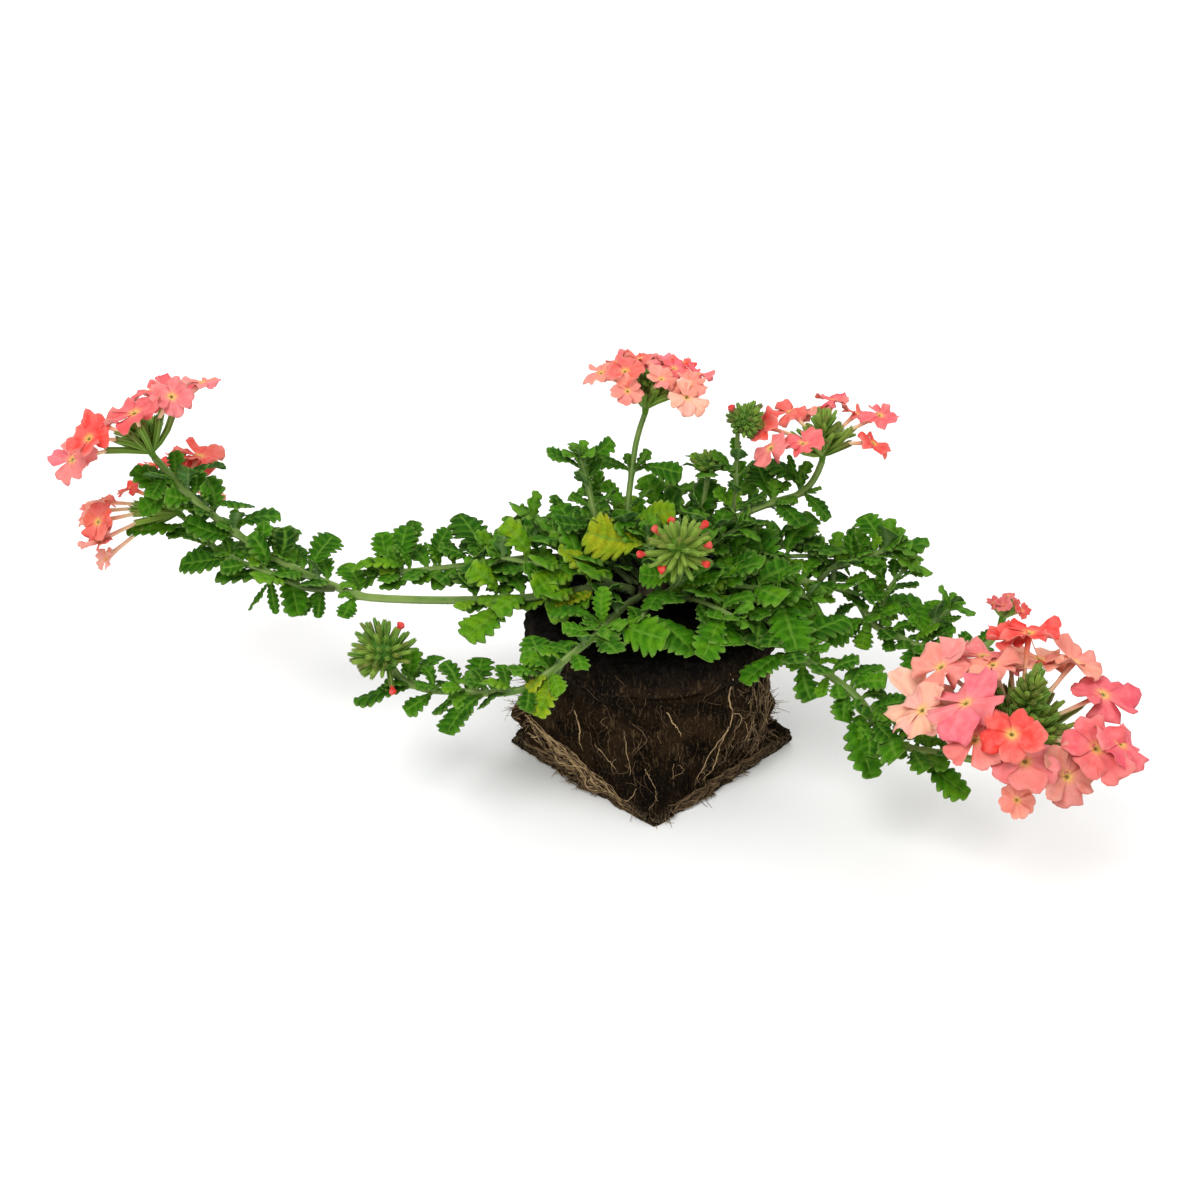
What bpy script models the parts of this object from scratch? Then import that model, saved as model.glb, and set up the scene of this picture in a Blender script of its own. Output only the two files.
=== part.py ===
"""Trailing verbena lifted from its pot: a bare root ball, leafy stems and flower heads.

The origin is the middle of the flat foot of the root ball. +X is the viewer's right,
+Y points away from the viewer and +Z is up.
"""

import math

import bmesh
import bpy
from mathutils import Matrix, Vector

MM = 0.001
GAP = 0.3 * MM
UP = Vector((0, 0, 1))
WORLD_X = Vector((1, 0, 0))

# Root ball: a square foot that turns round above, its corners on the X and Y axes
BALL_SIDES = 32
BODY_RADIUS = 43 * MM
FOOT_HALF_DIAGONAL = 53 * MM
LIP_HEIGHT = 10 * MM
LIP_RISE_TO_THE_LEFT = 4 * MM
SKIRT_STEPS = [(7 * MM, 0.55), (17 * MM, 0.12)]
SOIL_BASE = 48 * MM
SOIL_TOP = 66 * MM
SOIL_RADIUS = 45.5 * MM
SOIL_STEPS = 32

# Root bundles along the foot: thickness, distance out of the wall and ends of the run
BUNDLE_POINTS = 7
BUNDLES = {
    "root_bundle_left_low": (2.3 * MM, 4.0 * MM, 188, 263),
    "root_bundle_left_high": (1.6 * MM, 8.3 * MM, 190, 258),
    "root_bundle_right": (2.0 * MM, 4.0 * MM, 277, 348),
}

# Woody crown in the middle of the soil
CROWN_RADIUS = 5.5 * MM
CROWN_TOP_RADIUS = 3.2 * MM
CROWN_HEIGHT = 6 * MM

# Stems: radius and route, in mm, from the soil or the parent stem to the tip
POINT_SPACING = 6 * MM
SEAT_GAP = 0.4 * MM
STEMS = {
    "stem_left": (1.5, [
        (-8, -2, 68), (-16, -5, 71), (-33, -8, 70), (-47, -10, 69), (-76, -8, 67), (-103, -4, 66),
        (-114, 0, 68), (-130, 2, 75), (-147, 6, 85), (-164, 10, 99), (-176, 13, 113)]),
    "stem_left_rear": (1.2, [
        (-8, 4, 68), (-18, 8, 74), (-40, 9, 75), (-60, 8, 73), (-80, 7, 71), (-98, 7, 69)]),
    "stem_front_left": (1.3, [
        (-5, -7, 68), (-11, -18, 70), (-19, -34, 70), (-28, -46, 69), (-36, -52, 65), (-46, -52, 58),
        (-57, -48, 54), (-67, -44, 52), (-78, -40, 50), (-87, -37, 52), (-91, -36, 57)]),
    "stem_rear_left": (1.1, [
        (-5, 7, 68), (-12, 8, 76), (-19, 10, 85), (-22, 12, 96), (-24, 14, 105), (-26, 14, 112)]),
    "stem_rear_tall": (1.1, [
        (-1, 9, 68), (-7, 13, 78), (-9, 16, 88), (-8, 20, 100), (-6, 24, 114), (-3, 26, 124)]),
    "stem_rear_middle": (1.1, [
        (4, 8, 68), (12, 16, 76), (17, 20, 84), (19, 24, 92), (20, 26, 99)]),
    "stem_rear_right": (1.3, [
        (7, 5, 68), (12, 7, 76), (18, 9, 82), (32, 18, 87), (43, 22, 90), (54, 26, 92),
        (59, 26, 99), (61, 26, 105)]),
    "stem_front_up": (1.0, [(1, -9, 68), (6, -15, 76), (9, -20, 84), (8, -25, 93)]),
    "stem_right": (1.3, [
        (9, 0, 68), (20, 1, 72), (35, 1, 70), (53, 5, 67), (72, 5, 62), (79, 0, 53),
        (91, -8, 50), (100, -16, 51), (114, -25, 57), (120, -25, 65)]),
    "stem_front_right": (1.4, [
        (6, -6, 68), (18, -12, 70), (38, -18, 67), (47, -30, 60), (60, -40, 56), (70, -50, 52),
        (75, -58, 47), (85, -66, 44), (98, -70, 44), (109, -74, 44), (115, -77, 47), (117, -78, 52)]),
}

# Side branches: radius, parent, place along it and the route past the parent's side
BRANCHES = {
    "branch_left": (1.1, "stem_left", 0.575, [
        (-124, -6, 71), (-136, -4, 76), (-147, 0, 78), (-155, 6, 79), (-163, 12, 83), (-170, 18, 87)]),
    "branch_right_tip": (1.0, "stem_right", 0.38, [(63, 8, 70), (72, 9, 73), (85, 10, 78)]),
    "branch_rear_bud": (0.9, "stem_rear_right", 0.42, [(30, 21, 93), (30, 23, 104), (30, 24, 118)]),
}

# Leaf pairs: stem, place along it, then azimuth, rise and length (mm) of each blade
LEAF_PAIRS = {
    "leaves_left_1": ("stem_left", 0.24, (235, -10, 24), (75, -5, 20)),
    "leaves_left_2": ("stem_left", 0.52, (110, 15, 16), (250, -15, 12)),
    "leaves_left_3": ("stem_left", 0.66, (125, 25, 20), (240, -35, 18)),
    "leaves_left_4": ("stem_left", 0.80, (20, 10, 17), (190, 20, 18)),
    "leaves_left_5": ("stem_left", 0.91, (175, 20, 18), (20, 15, 18)),
    "leaves_left_rear_1": ("stem_left_rear", 0.22, (110, 25, 24), (265, 10, 18)),
    "leaves_left_rear_2": ("stem_left_rear", 0.60, (120, 30, 22), (250, 15, 16)),
    "leaves_left_rear_3": ("stem_left_rear", 0.93, (75, 40, 20), (190, 10, 18)),
    "leaves_branch_left": ("branch_left", 0.60, (215, -25, 20), (110, -10, 16)),
    "leaves_front_left_1": ("stem_front_left", 0.20, (315, -10, 24), (170, 10, 20)),
    "leaves_front_left_2": ("stem_front_left", 0.47, (255, -40, 15), (110, 15, 18)),
    "leaves_front_left_3": ("stem_front_left", 0.70, (240, -25, 18), (80, 15, 16)),
    "leaves_front_left_4": ("stem_front_left", 0.92, (195, -10, 20), (50, 10, 16)),
    "leaves_rear_left_1": ("stem_rear_left", 0.55, (195, 10, 17), (350, 5, 14)),
    "leaves_rear_left_2": ("stem_rear_left", 0.95, (185, 25, 14), (10, 40, 14)),
    "leaves_rear_tall": ("stem_rear_tall", 0.62, (170, 15, 14), (350, 0, 18)),
    "leaves_rear_right_1": ("stem_rear_right", 0.62, (300, -5, 18), (110, 25, 18)),
    "leaves_rear_right_2": ("stem_rear_right", 0.78, (325, -35, 18), (150, 25, 20)),
    "leaves_right_1": ("stem_right", 0.27, (285, -5, 26), (100, 25, 22)),
    "leaves_right_2": ("stem_right", 0.58, (20, 0, 22), (200, -20, 18)),
    "leaves_right_3": ("stem_right", 0.76, (70, 25, 20), (250, 0, 16)),
    "leaves_right_tip": ("branch_right_tip", 0.93, (5, 10, 17), (120, 35, 15)),
    "leaves_front_right_1": ("stem_front_right", 0.12, (285, -5, 28), (60, 40, 14)),
    "leaves_front_right_2": ("stem_front_right", 0.36, (215, -15, 22), (30, 15, 24)),
    "leaves_front_right_3": ("stem_front_right", 0.60, (245, -30, 24), (10, 10, 18)),
    "leaves_front_right_4": ("stem_front_right", 0.76, (305, -25, 20), (115, 5, 14)),
}
COLLAR_SIDES = 6
COLLAR_HEIGHT = 2.4 * MM
COLLAR_WALL = 0.9 * MM
COLLAR_CLEARANCE = 0.5 * MM
BLADE_ROOT_DEPTH = 0.4 * MM
BLADE_THICKNESS = 0.8 * MM
BLADE_BEND = 0.3
BLADE_OUTLINE = [(0.0, 0.05), (0.22, 0.16), (0.5, 0.32), (0.8, 0.22), (1.0, 0.05)]

# Flower heads: stem, axis, cup height and radius, core radius, then each floret's
# tilt from the axis, turn about it, reach and disc radius (mm)
OPEN_HEADS = {
    "far_left": ("stem_left", (-0.47, 0.28, 0.86), 3.4, 4.5, [
        (65, 240, 26, 10), (75, 200, 28, 9), (65, 285, 22, 11), (60, 75, 22, 9), (65, 50, 24, 9),
        (75, 350, 26, 10), (65, 135, 22, 8), (25, 180, 20, 8)]),
    "behind_left": ("branch_left", (-0.7, 0.6, 0.3), 3.4, 4.5, [
        (60, 182, 26, 9), (85, 165, 28, 8), (32, 170, 24, 9), (20, 335, 20, 8), (55, 0, 20, 8),
        (75, 355, 24, 9), (85, 30, 22, 8)]),
    "rear_tall": ("stem_rear_tall", (0.08, -0.05, 1.0), 3.4, 4.5, [
        (60, 187, 19, 8), (42, 225, 17, 8), (68, 90, 16, 8), (30, 315, 17, 8), (65, 40, 21, 8),
        (62, 358, 21, 8), (52, 318, 19, 8), (72, 322, 24, 8), (60, 135, 17, 8)]),
    "rear_right": ("stem_rear_right", (0.0, 0.1, 1.0), 3.4, 4.5, [
        (72, 168, 22, 9), (75, 213, 24, 10), (70, 240, 20, 10), (55, 70, 21, 9), (65, 120, 21, 8),
        (63, 42, 20, 8), (62, 8, 24, 8), (70, 320, 24, 9)]),
    "front_right": ("stem_front_right", (0.05, -0.25, 0.97), 5, 6.5, [
        (50, 186, 28, 14), (90, 165, 34, 12), (38, 133, 28, 11), (68, 140, 30, 12), (60, 222, 28, 12),
        (60, 260, 28, 13), (45, 245, 24, 10), (85, 260, 32, 9), (67, 295, 30, 12), (62, 318, 30, 12),
        (60, 8, 30, 12), (77, 348, 35, 11), (65, 42, 30, 11), (45, 65, 28, 11), (55, 90, 30, 11),
        (66, 115, 30, 11)]),
}
CUP_FOOT_RADIUS = 1.6 * MM
CUP_SIDES = 10
CORE_HEIGHT = 4 * MM
TUBE_RADIUS = 0.9 * MM
THROAT_RADIUS = 1.3 * MM
TUBE_START = 1.5 * MM
DISC_THICKNESS = 0.9 * MM
PETAL_NOTCH = 0.55
PETALS = 5

# Closed heads: stem, axis, radius of the heart and of the whole, number of buds (mm)
BUD_HEADS = {
    "young_head": ("stem_right", (0.15, -0.05, 1.0), 4.5, 10, 14),
    "bud_head_front_left": ("stem_front_left", (-0.45, 0.1, 0.9), 6, 15, 18),
    "bud_head_front_up": ("stem_front_up", (-0.05, -0.35, 0.94), 5.5, 14, 16),
    "bud_head_rear": ("branch_rear_bud", (0.0, 0.0, 1.0), 4, 9, 12),
    "bud_tip_rear_middle": ("stem_rear_middle", (0.0, 0.0, 1.0), 3.5, 8, 10),
}
BUD_FOOT_RADIUS = 1.4 * MM
BUD_TIP_RADIUS = 0.5 * MM
BUD_SPREAD = 105

# Colour, roughness
FINISHES = {
    "root_ball": ((0.035, 0.020, 0.012), 0.95),
    "soil": ((0.010, 0.008, 0.007), 0.97),
    "roots": ((0.42, 0.29, 0.16), 0.85),
    "crown": ((0.20, 0.15, 0.08), 0.8),
    "stem": ((0.22, 0.34, 0.09), 0.55),
    "leaf": ((0.045, 0.16, 0.025), 0.5),
    "calyx": ((0.10, 0.20, 0.05), 0.6),
    "petals": ((0.85, 0.16, 0.13), 0.5),
    "buds": ((0.11, 0.24, 0.05), 0.6),
}


def clear_scene():
    """Leave an empty scene, whatever the file held."""
    for thing in list(bpy.data.objects):
        bpy.data.objects.remove(thing)


def new_collection(name):
    """A collection linked to the scene."""
    group = bpy.data.collections.new(name)
    bpy.context.scene.collection.children.link(group)
    return group


def finish(name, kind):
    """The Principled BSDF material of one sub-part."""
    colour, roughness = FINISHES[kind]
    material = bpy.data.materials.new(name)
    material.use_nodes = True
    shader = material.node_tree.nodes["Principled BSDF"]
    shader.inputs["Base Color"].default_value = (*colour, 1)
    shader.inputs["Roughness"].default_value = roughness
    shader.inputs["Metallic"].default_value = 0
    return material


def add_part(name, data, kind):
    """A named object of the plant."""
    part = bpy.data.objects.new(name, data)
    data.materials.append(finish(name, kind))
    PLANT.objects.link(part)
    return part


def add_cutter(name, mesh):
    """A helper shape that a Boolean reads."""
    cutter = bpy.data.objects.new(name, mesh)
    cutter.hide_render = True
    cutter.display_type = "WIRE"
    CUTTERS.objects.link(cutter)
    return cutter


def as_mesh(name, bm):
    """The bmesh as mesh data with its faces pointing out."""
    bmesh.ops.recalc_face_normals(bm, faces=bm.faces)
    mesh = bpy.data.meshes.new(name)
    bm.to_mesh(mesh)
    bm.free()
    return mesh


def smooth(mesh, sharp_degrees=40):
    """Smooth shading that keeps the hard edges."""
    mesh.shade_smooth()
    mesh.set_sharp_from_angle(angle=math.radians(sharp_degrees))


def join_shape(part, cutter, own_overlaps=False):
    """Union the cutter into the part."""
    modifier = part.modifiers.new("Join " + cutter.name, "BOOLEAN")
    modifier.operation = "UNION"
    modifier.object = cutter
    modifier.use_self = own_overlaps


def standing(origin, axis):
    """A matrix whose Z is the axis and whose X lies nearest to the world's X."""
    z = axis.normalized()
    x = (WORLD_X - z * WORLD_X.dot(z)).normalized()
    y = z.cross(x)
    return Matrix.Translation(origin) @ Matrix((x, y, z)).transposed().to_4x4()


def compass(azimuth, rise):
    """Unit vector from an azimuth about Z and a rise above the ground, in degrees."""
    flat = math.cos(math.radians(rise))
    turn = math.radians(azimuth)
    return Vector((flat * math.cos(turn), flat * math.sin(turn), math.sin(math.radians(rise))))


def foot_radius(angle):
    """Distance from the axis to the square foot's edge."""
    return FOOT_HALF_DIAGONAL / (abs(math.cos(angle)) + abs(math.sin(angle)))


def lip_height(angle):
    """Height of the foot's upright wall, higher at the left corner."""
    return LIP_HEIGHT - LIP_RISE_TO_THE_LEFT * math.cos(angle)


def ball_ring(bm, height, squareness):
    """One ring of the root ball; the height is a function of the angle."""
    ring = []
    for i in range(BALL_SIDES):
        angle = math.tau * i / BALL_SIDES
        radius = BODY_RADIUS + (foot_radius(angle) - BODY_RADIUS) * squareness
        place = (radius * math.cos(angle), radius * math.sin(angle), height(angle))
        ring.append(bm.verts.new(place))
    return ring


def root_ball():
    """Loft from the square foot to the round body."""
    bm = bmesh.new()
    rings = [ball_ring(bm, lambda angle: 0, 1), ball_ring(bm, lip_height, 1)]
    for rise, squareness in SKIRT_STEPS:
        rings.append(ball_ring(bm, lambda angle: lip_height(angle) + rise, squareness))
    rings.append(ball_ring(bm, lambda angle: SOIL_BASE - GAP, 0))
    for lower, upper in zip(rings, rings[1:]):
        for i in range(BALL_SIDES):
            j = (i + 1) % BALL_SIDES
            bm.faces.new((lower[i], lower[j], upper[j], upper[i]))
    bm.faces.new(reversed(rings[0]))
    bm.faces.new(rings[-1])
    mesh = as_mesh("root_ball", bm)
    smooth(mesh)
    add_part("root_ball", mesh, "root_ball")


def soil_top():
    """Turned cap of black peat, a little wider than the body below it."""
    profile = [
        (0, SOIL_TOP), (0.55 * SOIL_RADIUS, SOIL_TOP - 0.2 * MM), (0.86 * SOIL_RADIUS, SOIL_TOP - 2 * MM),
        (0.97 * SOIL_RADIUS, SOIL_TOP - 6 * MM), (SOIL_RADIUS, SOIL_TOP - 11 * MM),
        (0.97 * SOIL_RADIUS, SOIL_BASE), (0, SOIL_BASE)]
    mesh = bpy.data.meshes.new("soil_top")
    edges = [(i, i + 1) for i in range(len(profile) - 1)]
    mesh.from_pydata([(radius, 0, height) for radius, height in profile], edges, [])
    part = add_part("soil_top", mesh, "soil")
    screw = part.modifiers.new("Turn", "SCREW")
    screw.steps = SOIL_STEPS
    screw.render_steps = SOIL_STEPS
    screw.use_merge_vertices = True
    screw.merge_threshold = 0.00001
    screw.use_smooth_shade = True


def tube(name, points, radius, kind):
    """A round stem or root along its points, with closed ends."""
    curve = bpy.data.curves.new(name, "CURVE")
    curve.dimensions = "3D"
    curve.bevel_depth = radius
    curve.bevel_resolution = 2
    curve.use_fill_caps = True
    spline = curve.splines.new("POLY")
    spline.points.add(len(points) - 1)
    for knot, point in zip(spline.points, points):
        knot.co = (*point, 1)
    add_part(name, curve, kind)


def root_bundles():
    """Matted roots that run along two sides of the foot."""
    for name, (radius, height, start, end) in BUNDLES.items():
        points = []
        for i in range(BUNDLE_POINTS):
            angle = math.radians(start + (end - start) * i / (BUNDLE_POINTS - 1))
            edge = foot_radius(angle)
            quarter = math.radians(90 * math.floor(math.degrees(angle) / 90) + 45)
            outward = Vector((math.cos(quarter), math.sin(quarter), 0))
            place = Vector((edge * math.cos(angle), edge * math.sin(angle), height))
            points.append(place + outward * (radius + GAP))
        tube(name, points, radius, "roots")


def crown():
    """Woody base that the stems stand round."""
    bm = bmesh.new()
    bmesh.ops.create_cone(
        bm, cap_ends=True, segments=12, radius1=CROWN_RADIUS, radius2=CROWN_TOP_RADIUS, depth=CROWN_HEIGHT)
    mesh = as_mesh("crown", bm)
    smooth(mesh)
    part = add_part("crown", mesh, "crown")
    part.location.z = SOIL_TOP + GAP + CROWN_HEIGHT / 2


def smooth_route(stations):
    """Points at an even spacing on a Catmull-Rom curve through the stations."""
    ends = [2 * stations[0] - stations[1], *stations, 2 * stations[-1] - stations[-2]]
    fine = []
    for a, b, c, d in zip(ends, ends[1:], ends[2:], ends[3:]):
        for k in range(12):
            t = k / 12
            fine.append(0.5 * (
                2 * b + (c - a) * t + (2 * a - 5 * b + 4 * c - d) * t * t + (3 * b - a - 3 * c + d) * t ** 3))
    fine.append(stations[-1])
    length = sum((q - p).length for p, q in zip(fine, fine[1:]))
    steps = max(2, round(length / POINT_SPACING))
    points = [fine[0]]
    travelled = 0
    for p, q in zip(fine, fine[1:]):
        travelled += (q - p).length
        if travelled >= length * len(points) / steps and len(points) < steps:
            points.append(q)
    points.append(fine[-1])
    return points


def stretch_at(stem, place):
    """Middle and direction of the straight stretch at a place along a stem."""
    points = ROUTES[stem]
    i = min(int(place * (len(points) - 1)), len(points) - 2)
    return (points[i] + points[i + 1]) / 2, (points[i + 1] - points[i]).normalized()


def branch_start(parent, place, toward, radius):
    """Where a branch leaves the parent's side, with the gap between the two."""
    middle, along = stretch_at(parent, place)
    outward = (toward - middle).normalized()
    sine = outward.cross(along).length
    cosine = abs(outward.dot(along))
    return middle + outward * ((RADII[parent] + GAP + radius * cosine) / sine)


def stem_start(first, second, radius):
    """The first station lowered until the stem's tilted end stands on the soil."""
    tilt = (second - first).normalized().cross(UP).length
    return Vector((first.x, first.y, SOIL_TOP + SEAT_GAP + radius * tilt))


def stems():
    """Main stems from the soil, then the branches from their sides."""
    for name, (radius, route) in STEMS.items():
        stations = [Vector(point) * MM for point in route]
        stations[0] = stem_start(stations[0], stations[1], radius * MM)
        RADII[name] = radius * MM
        ROUTES[name] = smooth_route(stations)
    for name, (radius, parent, place, route) in BRANCHES.items():
        stations = [Vector(point) * MM for point in route]
        start = branch_start(parent, place, stations[0], radius * MM)
        RADII[name] = radius * MM
        ROUTES[name] = smooth_route([start, *stations])
    for name, points in ROUTES.items():
        tube(name, points, RADII[name], "stem")


def blade(name, middle, along, wall, azimuth, rise, length):
    """A thin leaf blade that starts in the collar's wall and bends to its direction."""
    heading = compass(azimuth, rise)
    outward = (heading - along * heading.dot(along)).normalized()
    start = middle + outward * wall
    bend = start + outward * (BLADE_BEND * length)
    tip = middle + heading * length
    bm = bmesh.new()
    rows = []
    for share, half_width in BLADE_OUTLINE:
        centre = start * (1 - share) ** 2 + bend * (2 * share * (1 - share)) + tip * share ** 2
        ahead = (bend - start) * (1 - share) + (tip - bend) * share
        side = ahead.cross(UP).normalized() * (half_width * length)
        rows.append([bm.verts.new(centre - side), bm.verts.new(centre + side)])
    for near, far in zip(rows, rows[1:]):
        bm.faces.new((near[0], near[1], far[1], far[0]))
    cutter = add_cutter(name, as_mesh(name, bm))
    thicken = cutter.modifiers.new("Thickness", "SOLIDIFY")
    thicken.thickness = BLADE_THICKNESS
    thicken.offset = 0
    return cutter


def leaf_pairs():
    """Opposite leaves: a collar round the stem and one blade to each side."""
    for name, (stem, place, *blades) in LEAF_PAIRS.items():
        middle, along = stretch_at(stem, place)
        clear_radius = RADII[stem] + COLLAR_CLEARANCE
        inner = clear_radius / math.cos(math.pi / COLLAR_SIDES)
        bm = bmesh.new()
        bmesh.ops.create_cone(
            bm, segments=COLLAR_SIDES, radius1=inner + COLLAR_WALL, radius2=inner + COLLAR_WALL,
            depth=COLLAR_HEIGHT)
        part = add_part(name, as_mesh(name, bm), "leaf")
        part.matrix_world = standing(middle, along)
        wall = part.modifiers.new("Wall", "SOLIDIFY")
        wall.thickness = COLLAR_WALL
        wall.offset = -1
        for i, (azimuth, rise, length) in enumerate(blades):
            cutter = blade(
                f"{name}_blade_{i + 1}", middle, along, clear_radius + BLADE_ROOT_DEPTH, azimuth, rise,
                length * MM)
            join_shape(part, cutter)


def head_seat(stem, axis, radius):
    """Where a head of this foot radius sits on its stem's end, clear of the tilted rim."""
    ahead = (ROUTES[stem][-1] - ROUTES[stem][-2]).normalized()
    return ROUTES[stem][-1] + axis * (GAP + radius * ahead.cross(axis).length)


def cup(name, foot, axis, height, radius):
    """The bunch of green calyces under an open head."""
    bm = bmesh.new()
    bmesh.ops.create_cone(
        bm, cap_ends=True, segments=CUP_SIDES, radius1=CUP_FOOT_RADIUS, radius2=radius, depth=height)
    mesh = as_mesh(name, bm)
    smooth(mesh)
    part = add_part(name, mesh, "calyx")
    part.matrix_world = standing(foot + axis * height / 2, axis)


def floret(bm, frame, tilt, turn, reach, radius):
    """One floret: a slender tube and a five-petalled disc at its end."""
    pose = frame @ Matrix.Rotation(math.radians(turn), 4, "Z") @ Matrix.Rotation(math.radians(tilt), 4, "Y")
    bmesh.ops.create_cone(
        bm, cap_ends=True, segments=5, radius1=TUBE_RADIUS, radius2=THROAT_RADIUS,
        depth=reach - TUBE_START, matrix=pose @ Matrix.Translation((0, 0, (reach + TUBE_START) / 2)))
    disc = bmesh.ops.create_cone(
        bm, cap_ends=True, segments=2 * PETALS, radius1=radius, radius2=radius, depth=DISC_THICKNESS)
    for vert in disc["verts"]:
        step = round(math.atan2(vert.co.y, vert.co.x) / (math.pi / PETALS))
        if step % 2:
            vert.co.xy *= PETAL_NOTCH
    place = pose @ Matrix.Translation((0, 0, reach)) @ Matrix.Rotation(math.radians(2 * turn), 4, "Z")
    bmesh.ops.transform(bm, matrix=place, verts=disc["verts"])


def open_heads():
    """Flower heads in bloom: a green cup and the florets spread over it."""
    for name, (stem, direction, height, radius, florets) in OPEN_HEADS.items():
        axis = Vector(direction).normalized()
        foot = head_seat(stem, axis, CUP_FOOT_RADIUS)
        cup("calyx_" + name, foot, axis, height * MM, radius * MM)
        top = foot + axis * (height * MM + GAP)
        bm = bmesh.new()
        bmesh.ops.create_cone(
            bm, cap_ends=True, segments=CUP_SIDES, radius1=radius * MM, radius2=0.5 * radius * MM,
            depth=CORE_HEIGHT, matrix=standing(top + axis * CORE_HEIGHT / 2, axis))
        part = add_part("florets_" + name, as_mesh("florets_" + name, bm), "petals")
        bm = bmesh.new()
        heart = standing(top + axis * CORE_HEIGHT / 2, axis)
        for tilt, turn, reach, disc_radius in florets:
            floret(bm, heart, tilt, turn, reach * MM, disc_radius * MM)
        spray = add_cutter("spray_" + name, as_mesh("spray_" + name, bm))
        join_shape(part, spray, own_overlaps=True)


def bud_heads():
    """Closed heads: a heart with slender buds all over it."""
    golden_turn = 137.5
    for name, (stem, direction, heart_radius, radius, count) in BUD_HEADS.items():
        axis = Vector(direction).normalized()
        centre = head_seat(stem, axis, RADII[stem]) + axis * heart_radius * MM
        bm = bmesh.new()
        bmesh.ops.create_uvsphere(
            bm, u_segments=8, v_segments=6, radius=heart_radius * MM, matrix=standing(centre, axis))
        part = add_part(name, as_mesh(name, bm), "buds")
        bm = bmesh.new()
        for i in range(count):
            tilt = math.radians(BUD_SPREAD * math.sqrt((i + 0.5) / count))
            turn = math.radians(golden_turn * i)
            pose = standing(centre, axis) @ Matrix.Rotation(turn, 4, "Z") @ Matrix.Rotation(tilt, 4, "Y")
            bmesh.ops.create_cone(
                bm, cap_ends=True, segments=4, radius1=BUD_FOOT_RADIUS, radius2=BUD_TIP_RADIUS,
                depth=radius * MM, matrix=pose @ Matrix.Translation((0, 0, radius * MM / 2)))
        spikes = add_cutter("spikes_" + name, as_mesh("spikes_" + name, bm))
        join_shape(part, spikes, own_overlaps=True)


clear_scene()
PLANT = new_collection("verbena")
CUTTERS = new_collection("cutters")
ROUTES = {}
RADII = {}
root_ball()
soil_top()
root_bundles()
crown()
stems()
leaf_pairs()
open_heads()
bud_heads()
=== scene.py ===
"""Looks of a trailing verbena: peat and roots, hairy stems, toothed leaves and flower heads.

Lengths in the tables are in millimetres and angles in degrees. Routes, places and directions repeat those of
the CAD part, so that each fine piece lies where its node is. Radius, height and angle on the root ball are
measured from its axis, with angle 270 towards the viewer.
"""

import math

import bpy
import numpy as np
from mathutils import Matrix, Vector, noise


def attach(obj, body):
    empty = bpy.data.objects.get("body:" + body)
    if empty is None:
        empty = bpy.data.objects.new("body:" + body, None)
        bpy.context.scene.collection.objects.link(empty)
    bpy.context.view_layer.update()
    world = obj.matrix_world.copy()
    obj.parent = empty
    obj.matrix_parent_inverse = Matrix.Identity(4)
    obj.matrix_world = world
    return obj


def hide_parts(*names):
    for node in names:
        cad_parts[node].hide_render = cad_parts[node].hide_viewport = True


MM = 0.001
GAP = 0.3 * MM
UP = Vector((0, 0, 1))
WORLD_X = Vector((1, 0, 0))
IN_PLACE = Matrix()

# Camera: it looks along +Y and down on the plant
CAMERA_PLACE = (-0.019, -0.617, 0.433)
CAMERA_PITCH = 31
CAMERA_LENS = 60
SENSOR_WIDTH = 36

# Studio: place, power and size of each soft light
LIGHTS = {
    "key": ((-0.5, -0.8, 1.4), 13, 0.7),
    "fill": ((0.9, -0.5, 0.9), 3, 0.9),
    "back": ((0.1, 0.9, 1.0), 4, 0.8),
}
LIT_PLACE = Vector((0, 0, 0.06))
SURROUNDING_LIGHT = 0.80
FLOOR_HALF = 6

# Root ball, as in the CAD part
BODY_RADIUS = 43
FOOT_HALF_DIAGONAL = 53
LIP_HEIGHT = 10
LIP_RISE_TO_THE_LEFT = 4
SKIRT_REACH = 9.5
CORNER_ROUNDING = 0.3
SOIL_BASE = 48
SOIL_TOP = 66
SOIL_RADIUS = 45.5
SOIL_PROFILE = [  # radius and height, from the middle of the base round the rim to the middle of the top
    (0.5, SOIL_BASE), (0.9 * SOIL_RADIUS, SOIL_BASE - 0.2), (0.965 * SOIL_RADIUS, SOIL_BASE),
    *((share * SOIL_RADIUS, SOIL_TOP - drop) for share, drop in (
        (0.99, 16), (1, 12), (0.99, 8), (0.965, 5.4), (0.91, 3.4), (0.81, 1.8), (0.67, 0.8), (0.5, 0.2))),
    (0.5, SOIL_TOP),
]
OVERHANG = [(44, 0), (50, 1.8), (54, 2.5), (58, 2.0), (61, 0.6)]  # height and how far the body bulges there
BUNDLES = {  # radius, height and the angles of its ends
    "root_bundle_left_low": (2.3, 4.0, 188, 263),
    "root_bundle_left_high": (1.6, 8.3, 190, 258),
    "root_bundle_right": (2.0, 4.0, 277, 348),
}
STRANDS = {  # count, spread up and down, fall along the side, thickness and brightness
    "root_bundle_left_low": (14, 2.2, 3.0, 0.22, 0.75),
    "root_bundle_left_high": (32, 4.8, 8.5, 0.27, 1.45),
    "root_bundle_right": (18, 2.4, -2.0, 0.24, 0.75),
}
CROWN_HEIGHT = 6
CROWN_PROFILE = ((0, 0.25, 0.8, 0.95, 1), (5.5, 4.7, 3.6, 2.8, 1.2))  # shares of the height and radii

# Dents in the side of the ball and shadows on it: depth or strength, half angle in radians, level and
# half height; the pocket and the right shadow lie above the lip
POCKET = (4.5, 0.16, 5, 4)
NOTCH = (5, 0.13, 7, 2.6)
SHADOW_AT_THE_RIGHT = (1, 0.5, 5, 4)
SHADOW_IN_FRONT = (0.75, 0.42, 14, 9)

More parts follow.
